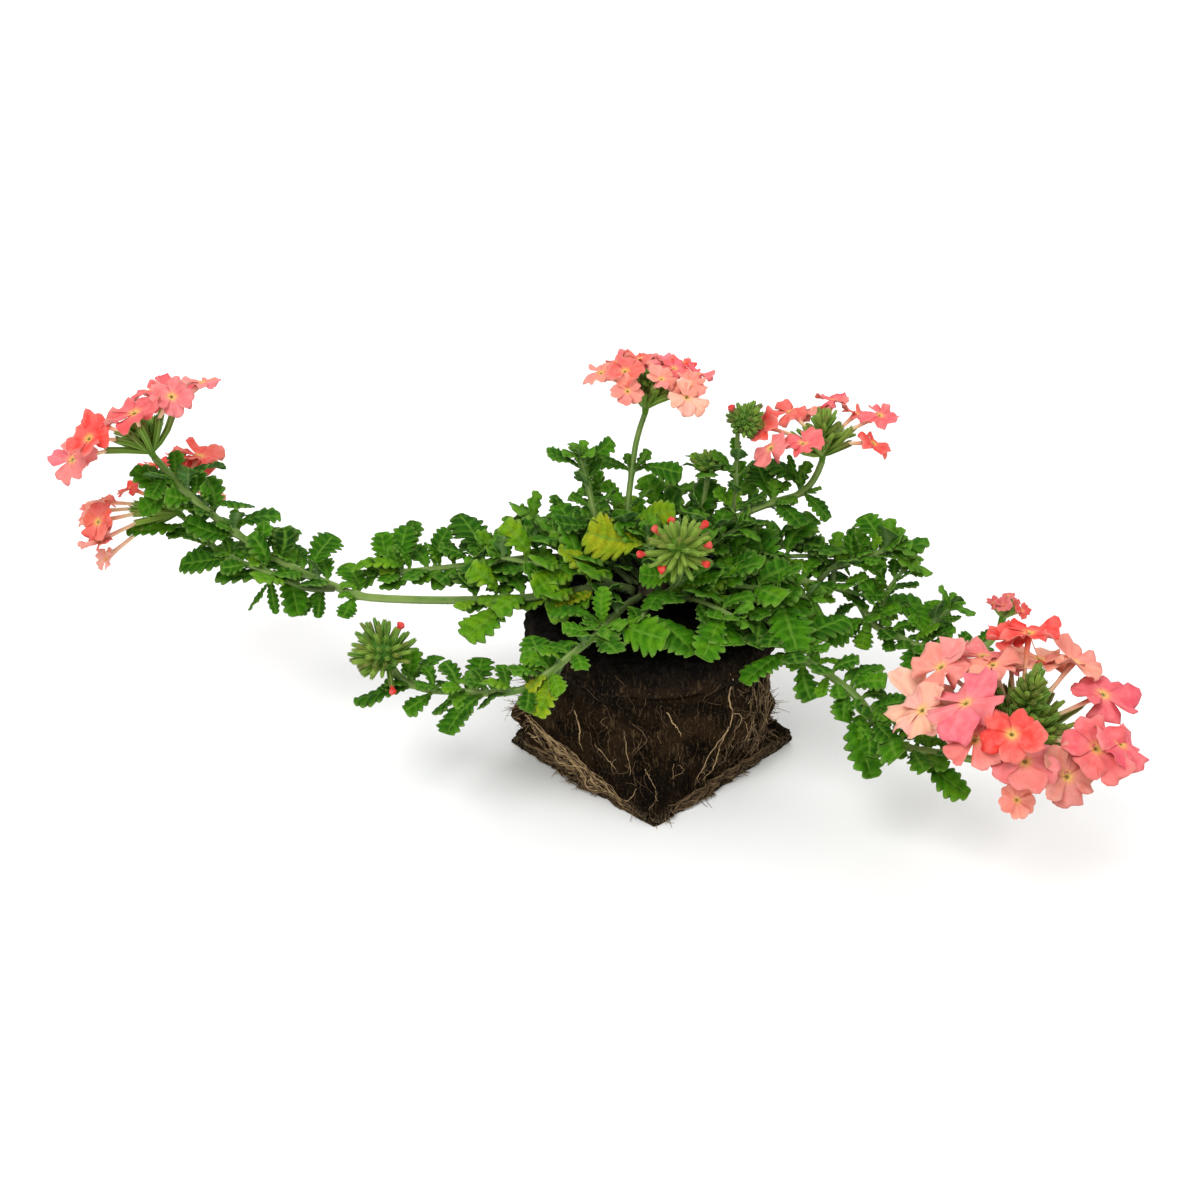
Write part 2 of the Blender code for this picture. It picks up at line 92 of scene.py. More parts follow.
# Rough surfaces: layers of noise, each with a shift, a patch size, a depth and octaves
BODY_RELIEF = ((0, 11, 1.0, 6), (0.1, 3, 0.45, 3))
FOOT_RELIEF = ((0.2, 5, 2.3, 4),)
SOIL_RELIEF = ((0, 9, 1.3, 6), (0.1, 2.5, 0.5, 3))

# Numbers of points round the ball, the soil and the crown, and of the small things on them
BODY_SIDES = 232
SOIL_SIDES = 190
CROWN_SIDES = 36
BODY_CRUMBS = 110
SOIL_CRUMBS = 90
FINE_ROOTS = 210
ROOTS_AT_THE_RIGHT = 110
ROOTS_TO_A_TUFT = 9
LOOSE_ROOTS_TO_A_BUNDLE = 34

# Single roots that stand out on the body: thickness, then angle and height of each station
BODY_ROOTS = [
    (0.55, [(229, 36), (231, 28), (230, 17)]),
    (0.40, [(256, 34), (257, 27), (259, 16)]),
    (0.45, [(275, 43), (279, 37), (283, 31)]),
    (0.65, [(307, 52), (308, 42), (310, 34), (309, 29)]),
    (0.50, [(309, 29), (302, 24), (297, 18), (291, 9)]),
    (0.50, [(309, 30), (305, 23), (303, 15), (296, 7)]),
    (0.40, [(309, 36), (314, 34), (316, 29), (313, 26)]),
    (0.35, [(266, 20), (269, 16), (272, 9)]),
    (0.35, [(262, 12), (259, 8), (257, 4)]),
    (0.30, [(240, 25), (246, 20), (253, 16)]),
    (0.35, [(326, 40), (329, 30), (325, 22), (320, 16)]),
    (0.35, [(333, 34), (336, 26), (341, 20), (344, 14)]),
    (0.30, [(320, 28), (324, 20), (330, 15)]),
    (0.45, [(40, 40), (44, 28), (41, 14)]),
    (0.40, [(88, 42), (92, 30), (90, 12)]),
    (0.45, [(133, 38), (129, 26), (134, 10)]),
    (0.40, [(165, 40), (168, 30), (163, 20)]),
]
TUFTS = [  # angle and height
    (183, 15), (178, 17), (188, 14), (186, 22), (193, 27), (198, 24), (190, 19), (182, 28), (188, 33),
    (356, 12), (2, 14), (5, 17), (352, 9), (262, 2), (275, 2), (225, 1.5), (240, 1.5), (210, 2), (300, 1.5),
    (330, 2)]

# Hairs: shortest, longest and radius
STEM_HAIRS = (0.35, 0.95, 0.05)
CALYX_HAIRS = (0.3, 0.7, 0.045)
HAIRS_TO_A_RING = 5
HAIRS_TO_A_CALYX = 7

# Stems: radius and route from the soil to the tip
POINT_SPACING = 6
SEAT_GAP = 0.4
STEMS = {
    "stem_left": (1.5, [
        (-8, -2, 68), (-16, -5, 71), (-33, -8, 70), (-47, -10, 69), (-76, -8, 67), (-103, -4, 66),
        (-114, 0, 68), (-130, 2, 75), (-147, 6, 85), (-164, 10, 99), (-176, 13, 113)]),
    "stem_left_rear": (1.2, [
        (-8, 4, 68), (-18, 8, 74), (-40, 9, 75), (-60, 8, 73), (-80, 7, 71), (-98, 7, 69)]),
    "stem_front_left": (1.3, [
        (-5, -7, 68), (-11, -18, 70), (-19, -34, 70), (-28, -46, 69), (-36, -52, 65), (-46, -52, 58),
        (-57, -48, 54), (-67, -44, 52), (-78, -40, 50), (-87, -37, 52), (-91, -36, 57)]),
    "stem_rear_left": (1.1, [
        (-5, 7, 68), (-12, 8, 76), (-19, 10, 85), (-22, 12, 96), (-24, 14, 105), (-26, 14, 112)]),
    "stem_rear_tall": (1.1, [
        (-1, 9, 68), (-7, 13, 78), (-9, 16, 88), (-8, 20, 100), (-6, 24, 114), (-3, 26, 124)]),
    "stem_rear_middle": (1.1, [
        (4, 8, 68), (12, 16, 76), (17, 20, 84), (19, 24, 92), (20, 26, 99)]),
    "stem_rear_right": (1.3, [
        (7, 5, 68), (12, 7, 76), (18, 9, 82), (32, 18, 87), (43, 22, 90), (54, 26, 92),
        (59, 26, 99), (61, 26, 105)]),
    "stem_front_up": (1.0, [(1, -9, 68), (6, -15, 76), (9, -20, 84), (8, -25, 93)]),
    "stem_right": (1.3, [
        (9, 0, 68), (20, 1, 72), (35, 1, 70), (53, 5, 67), (72, 5, 62), (79, 0, 53),
        (91, -8, 50), (100, -16, 51), (114, -25, 57), (120, -25, 65)]),
    "stem_front_right": (1.4, [
        (6, -6, 68), (18, -12, 70), (38, -18, 67), (47, -30, 60), (60, -40, 56), (70, -50, 52),
        (75, -58, 47), (85, -66, 44), (98, -70, 44), (109, -74, 44), (115, -77, 47), (117, -78, 52)]),
}
BRANCHES = {  # radius, parent, place along it and route
    "branch_left": (1.1, "stem_left", 0.575, [
        (-124, -6, 71), (-136, -4, 76), (-147, 0, 78), (-155, 6, 79), (-163, 12, 83), (-170, 18, 87)]),
    "branch_right_tip": (1.0, "stem_right", 0.38, [(63, 8, 70), (72, 9, 73), (85, 10, 78)]),
    "branch_rear_bud": (0.9, "stem_rear_right", 0.42, [(30, 21, 93), (30, 23, 104), (30, 24, 118)]),
}

# Leaf pairs that stand for CAD nodes: stem, place along it, then azimuth, rise, length, roll and
# tone of each blade; tone runs from 0, dark and bluish, to 1, yellow
LEAF_PAIRS = {
    "leaves_left_1": ("stem_left", 0.24, (235, -10, 24, 10, 0.60), (75, -5, 20, -10, 0.35)),
    "leaves_left_2": ("stem_left", 0.52, (110, 15, 16, 10, 0.45), (250, -15, 12, 0, 0.45)),
    "leaves_left_3": ("stem_left", 0.66, (125, 25, 20, -20, 0.35), (280, -40, 18, 10, 0.40)),
    "leaves_left_4": ("stem_left", 0.80, (20, 10, 17, 10, 0.35), (190, 20, 18, 0, 0.40)),
    "leaves_left_5": ("stem_left", 0.91, (175, 20, 18, 30, 0.45), (15, 22, 17, 65, 0.35)),
    "leaves_left_rear_1": ("stem_left_rear", 0.22, (110, 25, 24, 0, 0.45), (265, 10, 18, 0, 0.55)),
    "leaves_left_rear_2": ("stem_left_rear", 0.60, (120, 30, 22, 0, 0.30), (250, 15, 16, 0, 0.30)),
    "leaves_left_rear_3": ("stem_left_rear", 0.93, (75, 40, 20, 0, 0.30), (190, 10, 18, 0, 0.60)),
    "leaves_branch_left": ("branch_left", 0.60, (195, 0, 18, 0, 0.35), (110, -10, 16, 0, 0.40)),
    "leaves_front_left_1": ("stem_front_left", 0.20, (332, 5, 24, 0, 0.42), (170, 10, 20, 0, 0.45)),
    "leaves_front_left_2": ("stem_front_left", 0.47, (255, -40, 15, 0, 0.85), (110, 15, 18, 0, 0.45)),
    "leaves_front_left_3": ("stem_front_left", 0.70, (240, -25, 18, 0, 0.35), (80, 15, 16, 0, 0.40)),
    "leaves_front_left_4": ("stem_front_left", 0.92, (195, -10, 20, 0, 0.35), (50, 10, 16, 0, 0.35)),
    "leaves_rear_left_1": ("stem_rear_left", 0.55, (195, 10, 17, 0, 0.35), (350, 5, 14, 0, 0.35)),
    "leaves_rear_left_2": ("stem_rear_left", 0.95, (185, 25, 14, 0, 0.45), (10, 40, 14, 0, 0.40)),
    "leaves_rear_tall": ("stem_rear_tall", 0.62, (170, 15, 14, 0, 0.30), (350, 0, 18, 0, 0.25)),
    "leaves_rear_right_1": ("stem_rear_right", 0.62, (300, -5, 18, 0, 0.35), (110, 25, 18, 0, 0.35)),
    "leaves_rear_right_2": ("stem_rear_right", 0.78, (325, -35, 14, 0, 0.42), (150, 25, 20, 0, 0.30)),
    "leaves_right_1": ("stem_right", 0.27, (285, -5, 26, 0, 0.45), (100, 25, 22, 0, 0.40)),
    "leaves_right_2": ("stem_right", 0.58, (20, 0, 22, 0, 0.50), (200, -20, 18, 0, 0.40)),
    "leaves_right_3": ("stem_right", 0.76, (70, 25, 20, 0, 0.35), (250, 0, 16, 0, 0.30)),
    "leaves_right_tip": ("branch_right_tip", 0.93, (5, 10, 17, 0, 0.45), (120, 35, 15, 0, 0.45)),
    "leaves_front_right_1": ("stem_front_right", 0.12, (285, -5, 28, 0, 0.44), (60, 40, 14, 0, 0.50)),
    "leaves_front_right_2": ("stem_front_right", 0.36, (215, -15, 22, 0, 0.40), (30, 15, 24, 0, 0.40)),
    "leaves_front_right_3": ("stem_front_right", 0.60, (270, -38, 23, 0, 0.38), (10, 10, 18, 0, 0.35)),
    "leaves_front_right_4": ("stem_front_right", 0.76, (322, -30, 20, 0, 0.42), (115, 5, 14, 0, 0.40)),
}

# Short leafy shoots between the long stems: radius, route from the soil, or parent, place and route
SHOOTS = {
    "shoot_left_upper": (0.9, [(-6, 4, 68), (-20, 10, 74), (-36, 14, 78), (-50, 16, 80)]),
    "shoot_left_behind": (0.9, [(-4, 8, 68), (-16, 20, 74), (-30, 29, 76), (-44, 36, 76)]),
    "shoot_left_middle": (0.9, [(-8, -3, 68), (-24, -4, 76), (-40, -4, 79), (-54, -2, 81)]),
    "shoot_behind_left": (0.9, [(-2, 9, 68), (-8, 20, 77), (-14, 29, 82), (-22, 36, 85)]),
    "shoot_behind": (0.9, [(1, 9, 68), (4, 20, 76), (6, 31, 81), (8, 40, 83)]),
    "shoot_behind_right": (0.9, [(4, 8, 68), (14, 20, 76), (26, 32, 80), (38, 40, 80)]),
    "shoot_right_behind": (0.9, [(7, 5, 68), (22, 12, 72), (40, 19, 73), (56, 22, 72)]),
    "shoot_right_middle": (0.9, [(8, 3, 68), (26, 8, 71), (46, 14, 72), (66, 17, 71)]),
    "shoot_right_front": (0.9, [(7, -3, 68), (22, -8, 73), (38, -12, 74), (54, -14, 72)]),
    "shoot_front_right": (0.9, [(5, -6, 68), (15, -18, 73), (27, -29, 73)]),
    "shoot_front": (0.8, [(1, -8, 68), (-2, -20, 72), (-6, -32, 71)]),
    "shoot_middle_left": (0.9, [(-1, 2, 70), (-1, 3, 78), (-2, 4, 86)]),
    "shoot_middle": (0.9, [(3, 3, 70), (8, 6, 80), (14, 8, 88)]),
    "shoot_middle_right": (0.9, [(6, 4, 69), (18, 8, 78), (30, 10, 86)]),
}
SIDE_SHOOTS = {
    "shoot_tip_upper": (0.8, "stem_right", 0.45, [(66, 12, 70), (77, 18, 71)]),
    "shoot_tip_middle": (0.8, "stem_right", 0.60, [(84, 5, 60), (88, 8, 66), (92, 10, 70)]),
    "shoot_tip_low": (0.8, "stem_right", 0.74, [(100, -8, 56), (106, -4, 61)]),
}

# Crossed pairs that fill a stretch of a stem: from and to as shares, spacing, leaf length and tone
LEAFY = [
    ("stem_left", 0.04, 0.30, 8, 18, 0.56),
    ("stem_left_rear", 0.10, 0.50, 9, 18, 0.38),
    ("stem_left_rear", 0.50, 0.97, 5, 15, 0.36),
    ("branch_left", 0.25, 0.92, 8, 16, 0.32),
    ("stem_front_left", 0.08, 0.30, 9, 12, 0.42),
    ("stem_front_left", 0.30, 0.97, 4.8, 14, 0.38),
    ("stem_rear_left", 0.10, 0.90, 9, 14, 0.40),
    ("stem_rear_tall", 0.05, 0.45, 8, 16, 0.40),
    ("stem_rear_middle", 0.10, 0.75, 8, 15, 0.30),
    ("stem_rear_right", 0.05, 0.50, 9, 17, 0.35),
    ("stem_front_up", 0.15, 0.60, 7, 15, 0.42),
    ("stem_right", 0.08, 0.36, 7, 15, 0.38),
    ("stem_right", 0.36, 0.94, 4.4, 12.5, 0.34),
    ("stem_left", 0.59, 0.76, 5.5, 15, 0.32),
    ("stem_left", 0.84, 0.97, 5, 13, 0.34),
    ("branch_right_tip", 0.30, 0.90, 4.5, 12, 0.42),
    ("branch_rear_bud", 0.05, 0.72, 6, 12, 0.36),
    ("stem_front_right", 0.06, 0.36, 9, 18, 0.40),
    ("stem_front_right", 0.36, 0.60, 5, 14, 0.36),
    ("stem_front_right", 0.60, 0.80, 7, 16, 0.38),
    *(("shoot_" + name, 0.25, 0.95, 9, length, tone) for name, length, tone in (
        ("left_upper", 19, 0.46), ("left_behind", 19, 0.32), ("left_middle", 18, 0.54),
        ("behind_left", 18, 0.35), ("behind", 18, 0.30), ("behind_right", 19, 0.30),
        ("right_behind", 19, 0.32), ("right_middle", 18, 0.40), ("right_front", 19, 0.42))),
    ("shoot_front_right", 0.30, 0.90, 8, 14, 0.42),
    ("shoot_middle_left", 0.30, 0.95, 7, 16, 0.45),
    ("shoot_middle", 0.25, 0.95, 7, 16, 0.38),
    ("shoot_middle_right", 0.25, 0.95, 8, 17, 0.38),
    ("shoot_tip_upper", 0.30, 0.95, 4.5, 12, 0.38),
    ("shoot_tip_middle", 0.20, 0.95, 4, 12, 0.40),
    ("shoot_tip_low", 0.20, 0.95, 4, 11, 0.38),
]

# Single leaves that stand out: stem, place, azimuth, rise, length, roll and tone, and the share of the usual
# width where it isn't 1
MARKED_LEAVES = [
    ("shoot_middle_left", 0.95, 184, 16, 23, 58, 0.92, 1.20),
    ("stem_front_up", 0.45, 190, 20, 14, 30, 0.50),
    ("stem_front_up", 0.45, 350, 15, 15, -30, 0.50),
    ("stem_front_up", 0.20, 240, 0, 15, 0, 0.44),
    ("stem_left_rear", 0.88, 80, 50, 17, 0, 0.36),
    ("stem_left_rear", 0.97, 105, 60, 15, 0, 0.36, 0.9),
    ("stem_left_rear", 0.78, 60, 52, 15, 0, 0.36),
    ("stem_left", 0.09, 215, -5, 15, 10, 0.90),
    ("stem_rear_tall", 0.30, 350, 20, 18, -30, 0.66),
    ("shoot_left_middle", 0.55, 240, 0, 18, 15, 0.66),
    ("stem_right", 0.30, 300, -20, 20, 20, 0.62),
    ("shoot_right_front", 0.80, 280, -25, 25, 10, 0.50, 1.1),
    ("stem_front_left", 0.20, 90, 55, 14, 0, 0.62, 0.8),
    ("shoot_front", 0.95, 325, -15, 23, 5, 0.40, 1.25),
    ("stem_front_right", 0.66, 300, -10, 16, 0, 0.36),
    ("stem_front_right", 0.70, 60, 30, 14, 0, 0.36),
    ("stem_front_right", 0.52, 30, 20, 15, 0, 0.36),
    ("shoot_front_right", 0.95, 240, -26, 20, 0, 0.48, 0.8),
    ("branch_left", 0.97, 185, -8, 22, 0, 0.48, 0.50),
    ("stem_left", 0.93, 200, -25, 17, 30, 0.50),
    ("stem_left", 0.93, 165, 30, 13, 0, 0.35),
    ("stem_left", 0.95, 245, -20, 12, 0, 0.42),
    ("stem_left", 0.84, 350, 12, 17, 10, 0.32, 1.1),
    ("stem_left", 0.62, 60, 30, 18, 0, 0.32),
    ("stem_left", 0.60, 250, -50, 13, 0, 0.34, 0.5),
    ("stem_left", 0.61, 220, -45, 14, 0, 0.34, 0.45),
    ("stem_left", 0.71, 30, 15, 15, 10, 0.36),
    ("stem_left", 0.87, 150, 20, 15, 0, 0.30),
    ("branch_left", 0.36, 205, -50, 16, 0, 0.30, 0.40),
    ("branch_left", 0.30, 275, -60, 14, 0, 0.30, 0.40),
    ("stem_rear_right", 0.84, 130, 55, 14, 0, 0.30, 0.35),
    ("stem_rear_left", 0.88, 20, 60, 14, 0, 0.35, 0.35),
]

# Growing tips without a flower head: stem, number of young leaves and their length
GROWING_TIPS = [
    ("stem_left_rear", 7, 10),
    ("stem_rear_left", 7, 9),
    ("branch_right_tip", 14, 12),
    ("stem_rear_middle", 16, 12),
    *((name, 6, 10) for name in (*SHOOTS, *SIDE_SHOOTS)),
]

# Blade of a leaf: shares of its own length or half width, and of the stem's radius for its foot
STALK_SHARE = 0.12
BLADE_BEND = 0.3
HALF_WIDTH = 0.35
TOOTH_DEPTH = 0.42
FORWARD_SWEEP = 0.55
LEAF_FOOT = 0.55

# Relief of a blade in millimetres, on a leaf of this length
RELIEF_LENGTH = 20 * MM
BLADE_HALF_THICKNESS = 0.13
BULGE = 0.60
VEIN_DEPTH = 0.35
MIDRIB_DEPTH = 0.40
WAVE = 1.2
RIPPLE = 0.14

# Columns of points across half a blade, and rows to a tooth: for large, plain and small leaves
LARGE = ((0.12, 0.36, 0.62, 0.86, 1), 5)
PLAIN = ((0.2, 0.62, 1), 4)
SMALL = ((0.55, 1), 3)

# Open heads: stem, axis, cup height and core radius, then each floret's tilt from the axis, turn
# about it, reach, limb radius and colour
OPEN_HEADS = {
    "far_left": ("stem_left", (-0.47, 0.28, 0.86), 3.4, 4.5, [
        (65, 240, 25, 9, "red"), (60, 290, 22, 12, "rose"), (68, 325, 26, 9, "pink"),
        (62, 50, 27, 8, "rose"), (45, 60, 21, 8, "rose"), (75, 205, 26, 9, "pink"),
        (50, 150, 19, 6, "rose"), (72, 20, 29, 7, "pink")]),
    "behind_left": ("branch_left", (-0.7, 0.6, 0.3), 3.4, 4.5, [
        (35, 165, 29, 7.5, "coral"), (75, 200, 28, 8.5, "coral"), (80, 185, 29, 7.5, "peach"),
        (85, 170, 30, 5, "pale"), (55, 190, 29, 7, "peach"), (15, 140, 20, 6, "red"),
        (20, 350, 20, 7, "red"), (65, 0, 24, 10, "coral"), (50, 0, 20, 8, "red"), (85, 35, 22, 6, "pale"),
        (60, 20, 27, 9, "coral")]),
    "rear_tall": ("stem_rear_tall", (0.08, -0.05, 1.0), 3.4, 4.5, [
        (60, 190, 20, 7, "peach"), (40, 215, 17, 7.5, "coral"), (70, 90, 16, 6.5, "pink"),
        (70, 65, 18, 6.5, "pink"), (70, 50, 21, 6, "red"), (60, 5, 20, 6.5, "rose"),
        (40, 290, 17, 6, "peach"), (65, 310, 22, 8, "pale"), (55, 325, 20, 7, "peach"),
        (60, 140, 17, 6, "rose"), (35, 0, 15, 6, "rose"), (60, 240, 18, 6, "peach"),
        (30, 120, 14, 6, "coral")]),
    "rear_right": ("stem_rear_right", (0.0, 0.1, 1.0), 3.4, 4.5, [
        (70, 188, 24, 8, "red"), (82, 212, 24, 8.5, "pink"), (70, 240, 19, 8, "rose"),
        (70, 125, 20, 7.5, "coral"), (65, 95, 18, 7, "peach"), (60, 75, 21, 7, "rose"),
        (70, 45, 20, 7, "coral"), (55, 335, 25, 7, "rose"), (75, 320, 22, 7, "red")]),
    "front_right": ("stem_front_right", (0.05, -0.25, 0.97), 5, 6.5, [
        (50, 190, 28, 15, "pink"), (85, 165, 34, 13, "pale"), (70, 145, 33, 12, "peach"),
        (65, 115, 28, 14, "pink"), (45, 245, 31, 10.5, "red"), (60, 220, 29, 12, "pink"),
        (60, 260, 28, 13, "pink"), (60, 315, 31, 13, "rose"), (70, 290, 30, 12, "brown"),
        (42, 85, 33, 10, "red"), (60, 70, 26, 11, "pale"), (58, 45, 30, 11.5, "peach"),
        (62, 12, 30, 12, "rose"), (65, 330, 35, 11, "rose"), (85, 260, 31, 7, "peach"),
        (40, 130, 25, 10, "peach"), (50, 100, 31, 7.5, "red"), (80, 174, 33, 10.5, "pale")]),
}
YOUNG_BUDS = {  # count and height of the cone
    "far_left": (12, 4),
    "behind_left": (12, 4),
    "rear_tall": (14, 4),
    "rear_right": (30, 7),
    "front_right": (66, 26),
}

# Closed calyces inside the large head and the small ones: count, spread and greatest length
INNER_LARGE = (120, 82, 21)
INNER_SMALL = (18, 62, 11)

# Parts that the heads share
CUP_FOOT_RADIUS = 1.6
CORE_HEIGHT = 4
PETALS = 5
THROAT_RADIUS = 0.25 * MM
PETAL_HALF_THICKNESS = 0.13
OPEN_CALYX_RADIUS = 1.25
CLOSED_CALYX_RADIUS = 1.1
GOLDEN_TURN = 137.5
TUBE_TINT = np.array((0.78, 0.72, 0.40))
PALE_EDGE = np.array((0.90, 0.45, 0.36))
PALE_BACK = np.array((0.90, 0.48, 0.38))

# Closed heads: stem, axis, heart radius and whole radius, then the calyces' number, spread from
# the axis, thickness and tone, the core's share of the radius, and tilt and turn of those that show colour
BUD_HEADS = {
    "young_head": ("stem_right", (0.15, -0.05, 1.0), 4.5, 6.5, 18, 50, 0.9, 0.95, 0.20, [
        (15, 80), (45, 190), (50, 340), (60, 60), (35, 240)]),
    "bud_head_front_left": ("stem_front_left", (-0.45, 0.1, 0.9), 5.5, 12.3, 76, 108, 1.0, 0.62, 0.50, [
        (62, 5), (132, 266)]),
    "bud_head_front_up": ("stem_front_up", (-0.05, -0.35, 0.94), 5, 12.3, 50, 105, 0.95, 1.0, 0.30, [
        (25, 120), (50, 160), (50, 20), (70, 350), (85, 320), (80, 240), (85, 190)]),
    "bud_head_rear": ("branch_rear_bud", (0.55, 0.0, 0.83), 4, 7.2, 64, 115, 1.0, 0.50, 0.62, [(78, 185)]),
    "bud_tip_rear_middle": ("stem_rear_middle", (0.0, 0.0, 1.0), 3.5, 6, 26, 90, 1.0, 0.60, 0.5, []),
}

# Where the limbs face: up and a little to the viewer, and at the back of a head more to the sun
FACING = Vector((0.0, -0.14, 0.90))
TOWARDS_SUN = Vector((0.0, -0.85, 0.53))

# Colours of hairs and petals
HAIR_COLOUR = (0.42, 0.48, 0.32)
PETAL_COLOURS = {
    "red": (0.74, 0.022, 0.014),
    "coral": (0.71, 0.083, 0.060),
    "rose": (0.71, 0.088, 0.108),
    "pink": (0.76, 0.180, 0.185),
    "peach": (0.78, 0.260, 0.190),
    "pale": (0.84, 0.460, 0.320),
    "brown": (0.58, 0.190, 0.145),
}

# Points and radius of each stem in metres, filled by find_routes
ROUTES = {}
RADII = {}


class Shape:
    """Points, faces and named values of the points, gathered into one mesh."""

    def __init__(self):
        self.blocks = []

    def add(self, points, faces, finish=0, **values):
        """One closed surface; faces is a list of arrays of point numbers."""
        self.blocks.append((np.reshape(points, (-1, 3)), faces, finish, values))

    def tube(self, rings, finish=0, pose=IN_PLACE, **values):
        """A closed tube at a pose, from an array of rings by sides by 3."""
        self.add(placed(pose, rings), tube_faces(*rings.shape[:2]), finish, **values)

    def mesh(self, name):
        """Mesh data with a point attribute for each named value."""
        faces = []
        finishes = []
        first = 0
        for points, arrays, finish, _ in self.blocks:
            for array in arrays:
                faces += (array + first).tolist()
                finishes += [finish] * len(array)
            first += len(points)
        mesh = bpy.data.meshes.new(name)
        mesh.from_pydata(np.concatenate([block[0] for block in self.blocks]).tolist(), [], faces)
        mesh.polygons.foreach_set("material_index", finishes)
        mesh.shade_smooth()
        for key in sorted({key for block in self.blocks for key in block[3]}):
            kind, field, width = ("FLOAT_COLOR", "color", 4) if key == "colour" else ("FLOAT", "value", 1)
            parts = []
            for points, _, _, values in self.blocks:
                value = np.asarray(values.get(key, np.zeros(width)), float).reshape(-1, width)
                parts.append(np.broadcast_to(value, (len(points), width)))
            attribute = mesh.attributes.new(key, kind, "POINT")
            attribute.data.foreach_set(field, np.concatenate(parts).astype(np.float32).ravel())
        mesh.update()
        return mesh


class Finish:
    """A Principled material while its nodes are put together."""

    def __init__(self, name, roughness, specular=0.5):
        self.material = bpy.data.materials.new(name)
        self.material.use_nodes = True
        self.nodes = self.material.node_tree.nodes
        self.links = self.material.node_tree.links
        self.place = self.node("TexCoord", {}, "Object")
        self.set("Roughness", roughness)
        self.set("Specular IOR Level", specular)

    def put(self, socket, value):
        """Link a node's output to a socket, or set the socket to a number or colour."""
        if isinstance(value, bpy.types.NodeSocket):
            self.links.new(value, socket)
        elif isinstance(value, tuple) and socket.type == "RGBA":
            socket.default_value = (*value, 1)
        else:
            socket.default_value = value

    def set(self, socket, value):
        """Give the shader a number, a colour or a node's output."""
        self.put(self.nodes["Principled BSDF"].inputs[socket], value)

    def node(self, kind, inputs, output=0, **settings):
        """One output of a new node with these inputs and settings."""
        node = self.nodes.new("ShaderNode" + kind)
        for setting, value in settings.items():
            setattr(node, setting, value)
        for socket, value in inputs.items():
            self.put(node.inputs[socket], value)
        return node.outputs[output]

    def value(self, name):
        """A point attribute as a number."""
        return self.node("Attribute", {}, "Fac", attribute_name=name)

    def colour(self, name):
        """A point attribute as a colour."""
        return self.node("Attribute", {}, "Color", attribute_name=name)

    def noise(self, size, detail=3, stretch=(1, 1, 1)):
        """Noise with patches of about this size in millimetres."""
        scale = [share / (size * MM) for share in stretch]
        mapped = self.node("Mapping", {"Vector": self.place, "Scale": scale})
        return self.node("TexNoise", {"Vector": mapped, "Scale": 1, "Detail": detail})

    def math(self, operation, a, b):
        """One sum of two numbers, kept between 0 and 1."""
        return self.node("Math", {0: a, 1: b}, operation=operation, use_clamp=True)

    def span(self, value, low, high, to_low=0.0, to_high=1.0):
        """The value's range low to high stretched to another range, smoothly."""
        inputs = dict(enumerate((value, low, high, to_low, to_high)))
        return self.node("MapRange", inputs, interpolation_type="SMOOTHSTEP")

    def mix(self, share, a, b):
        """Colour a turning into colour b by the share."""
        return self.node("Mix", {0: share, 6: a, 7: b}, 2, data_type="RGBA")

    def coats(self, base, *coats):
        """A colour under coats of others, whose shares are node outputs or names of point values."""
        for share, colour in coats:
            base = self.mix(self.value(share) if isinstance(share, str) else share, base, colour)
        return base

    def paint(self, base, *coats):
        """Give the shader a colour under coats of others."""
        self.set("Base Color", self.coats(base, *coats))

    def ramp(self, value, *stops):
        """A colour for each place on the value's way from 0 to 1."""
        node = self.nodes.new("ShaderNodeValToRGB")
        self.put(node.inputs[0], value)
        elements = node.color_ramp.elements
        while len(elements) < len(stops):
            elements.new(0.5)
        for element, (place, colour) in zip(elements, stops):
            element.position = place
            element.color = (*colour, 1)
        return node.outputs[0]

    def bump(self, height, distance, strength=0.6):
        """Fine relief of this depth in millimetres."""
        inputs = {"Strength": strength, "Distance": distance * MM, "Height": height}
        self.set("Normal", self.node("Bump", inputs))


def peat_colours(finish):
    """Dark brown peat with a faint web of fibres, its grain and the fibres."""
    grain = finish.noise(0.9, 6)
    fibres = finish.noise(1.3, 5, stretch=(1.6, 1.6, 0.22))
    patches = finish.noise(9, 4)
    webbed = finish.coats(
        (0.0035, 0.0024, 0.0014),
        (finish.span(patches, 0.35, 0.7), (0.022, 0.0125, 0.0060)),
        (finish.span(grain, 0.50, 0.75), (0.050, 0.029, 0.013)),
        (finish.span(fibres, 0.56, 0.68, 0, 0.55), (0.110, 0.072, 0.034)))
    return webbed, grain, fibres


def peat_finish():
    """Peat of the root ball, black at the top and greyer at the foot, with painted shade at the right corner
    and in front.
    """
    finish = Finish("peat", 1.0, specular=0.02)
    webbed, grain, fibres = peat_colours(finish)
    foot = finish.math("MULTIPLY", finish.value("foot"), finish.span(grain, 0.42, 0.66))
    finish.paint(
        webbed,
        ("top", (0.0050, 0.0042, 0.0028)),
        (foot, (0.125, 0.092, 0.056)),
        # Painted shade: near black where the ball lies in shadow
        ("hollow", (0.003, 0.0025, 0.002)))
    finish.bump(finish.mix(0.5, grain, fibres), 1.0, 1.0)
    return finish.material


def soil_finish():
    """Black moist peat with brown crumbs above, like the root ball on the side."""
    finish = Finish("soil", 0.9, specular=0.05)
    webbed, grain, fibres = peat_colours(finish)
    crumbs = finish.noise(2.4, 4)
    patchy = finish.math("MULTIPLY", finish.value("side"), finish.span(crumbs, 0.1, 0.5, 0.4, 0.8))
    finish.paint(
        (0.0012, 0.0010, 0.0008),
        (finish.span(crumbs, 0.4, 0.7), (0.0060, 0.0048, 0.0036)),
        (finish.span(grain, 0.6, 0.78), (0.026, 0.018, 0.010)),
        (patchy, webbed))
    finish.bump(finish.mix(0.4, grain, fibres), 1.0, 1.0)
    return finish.material


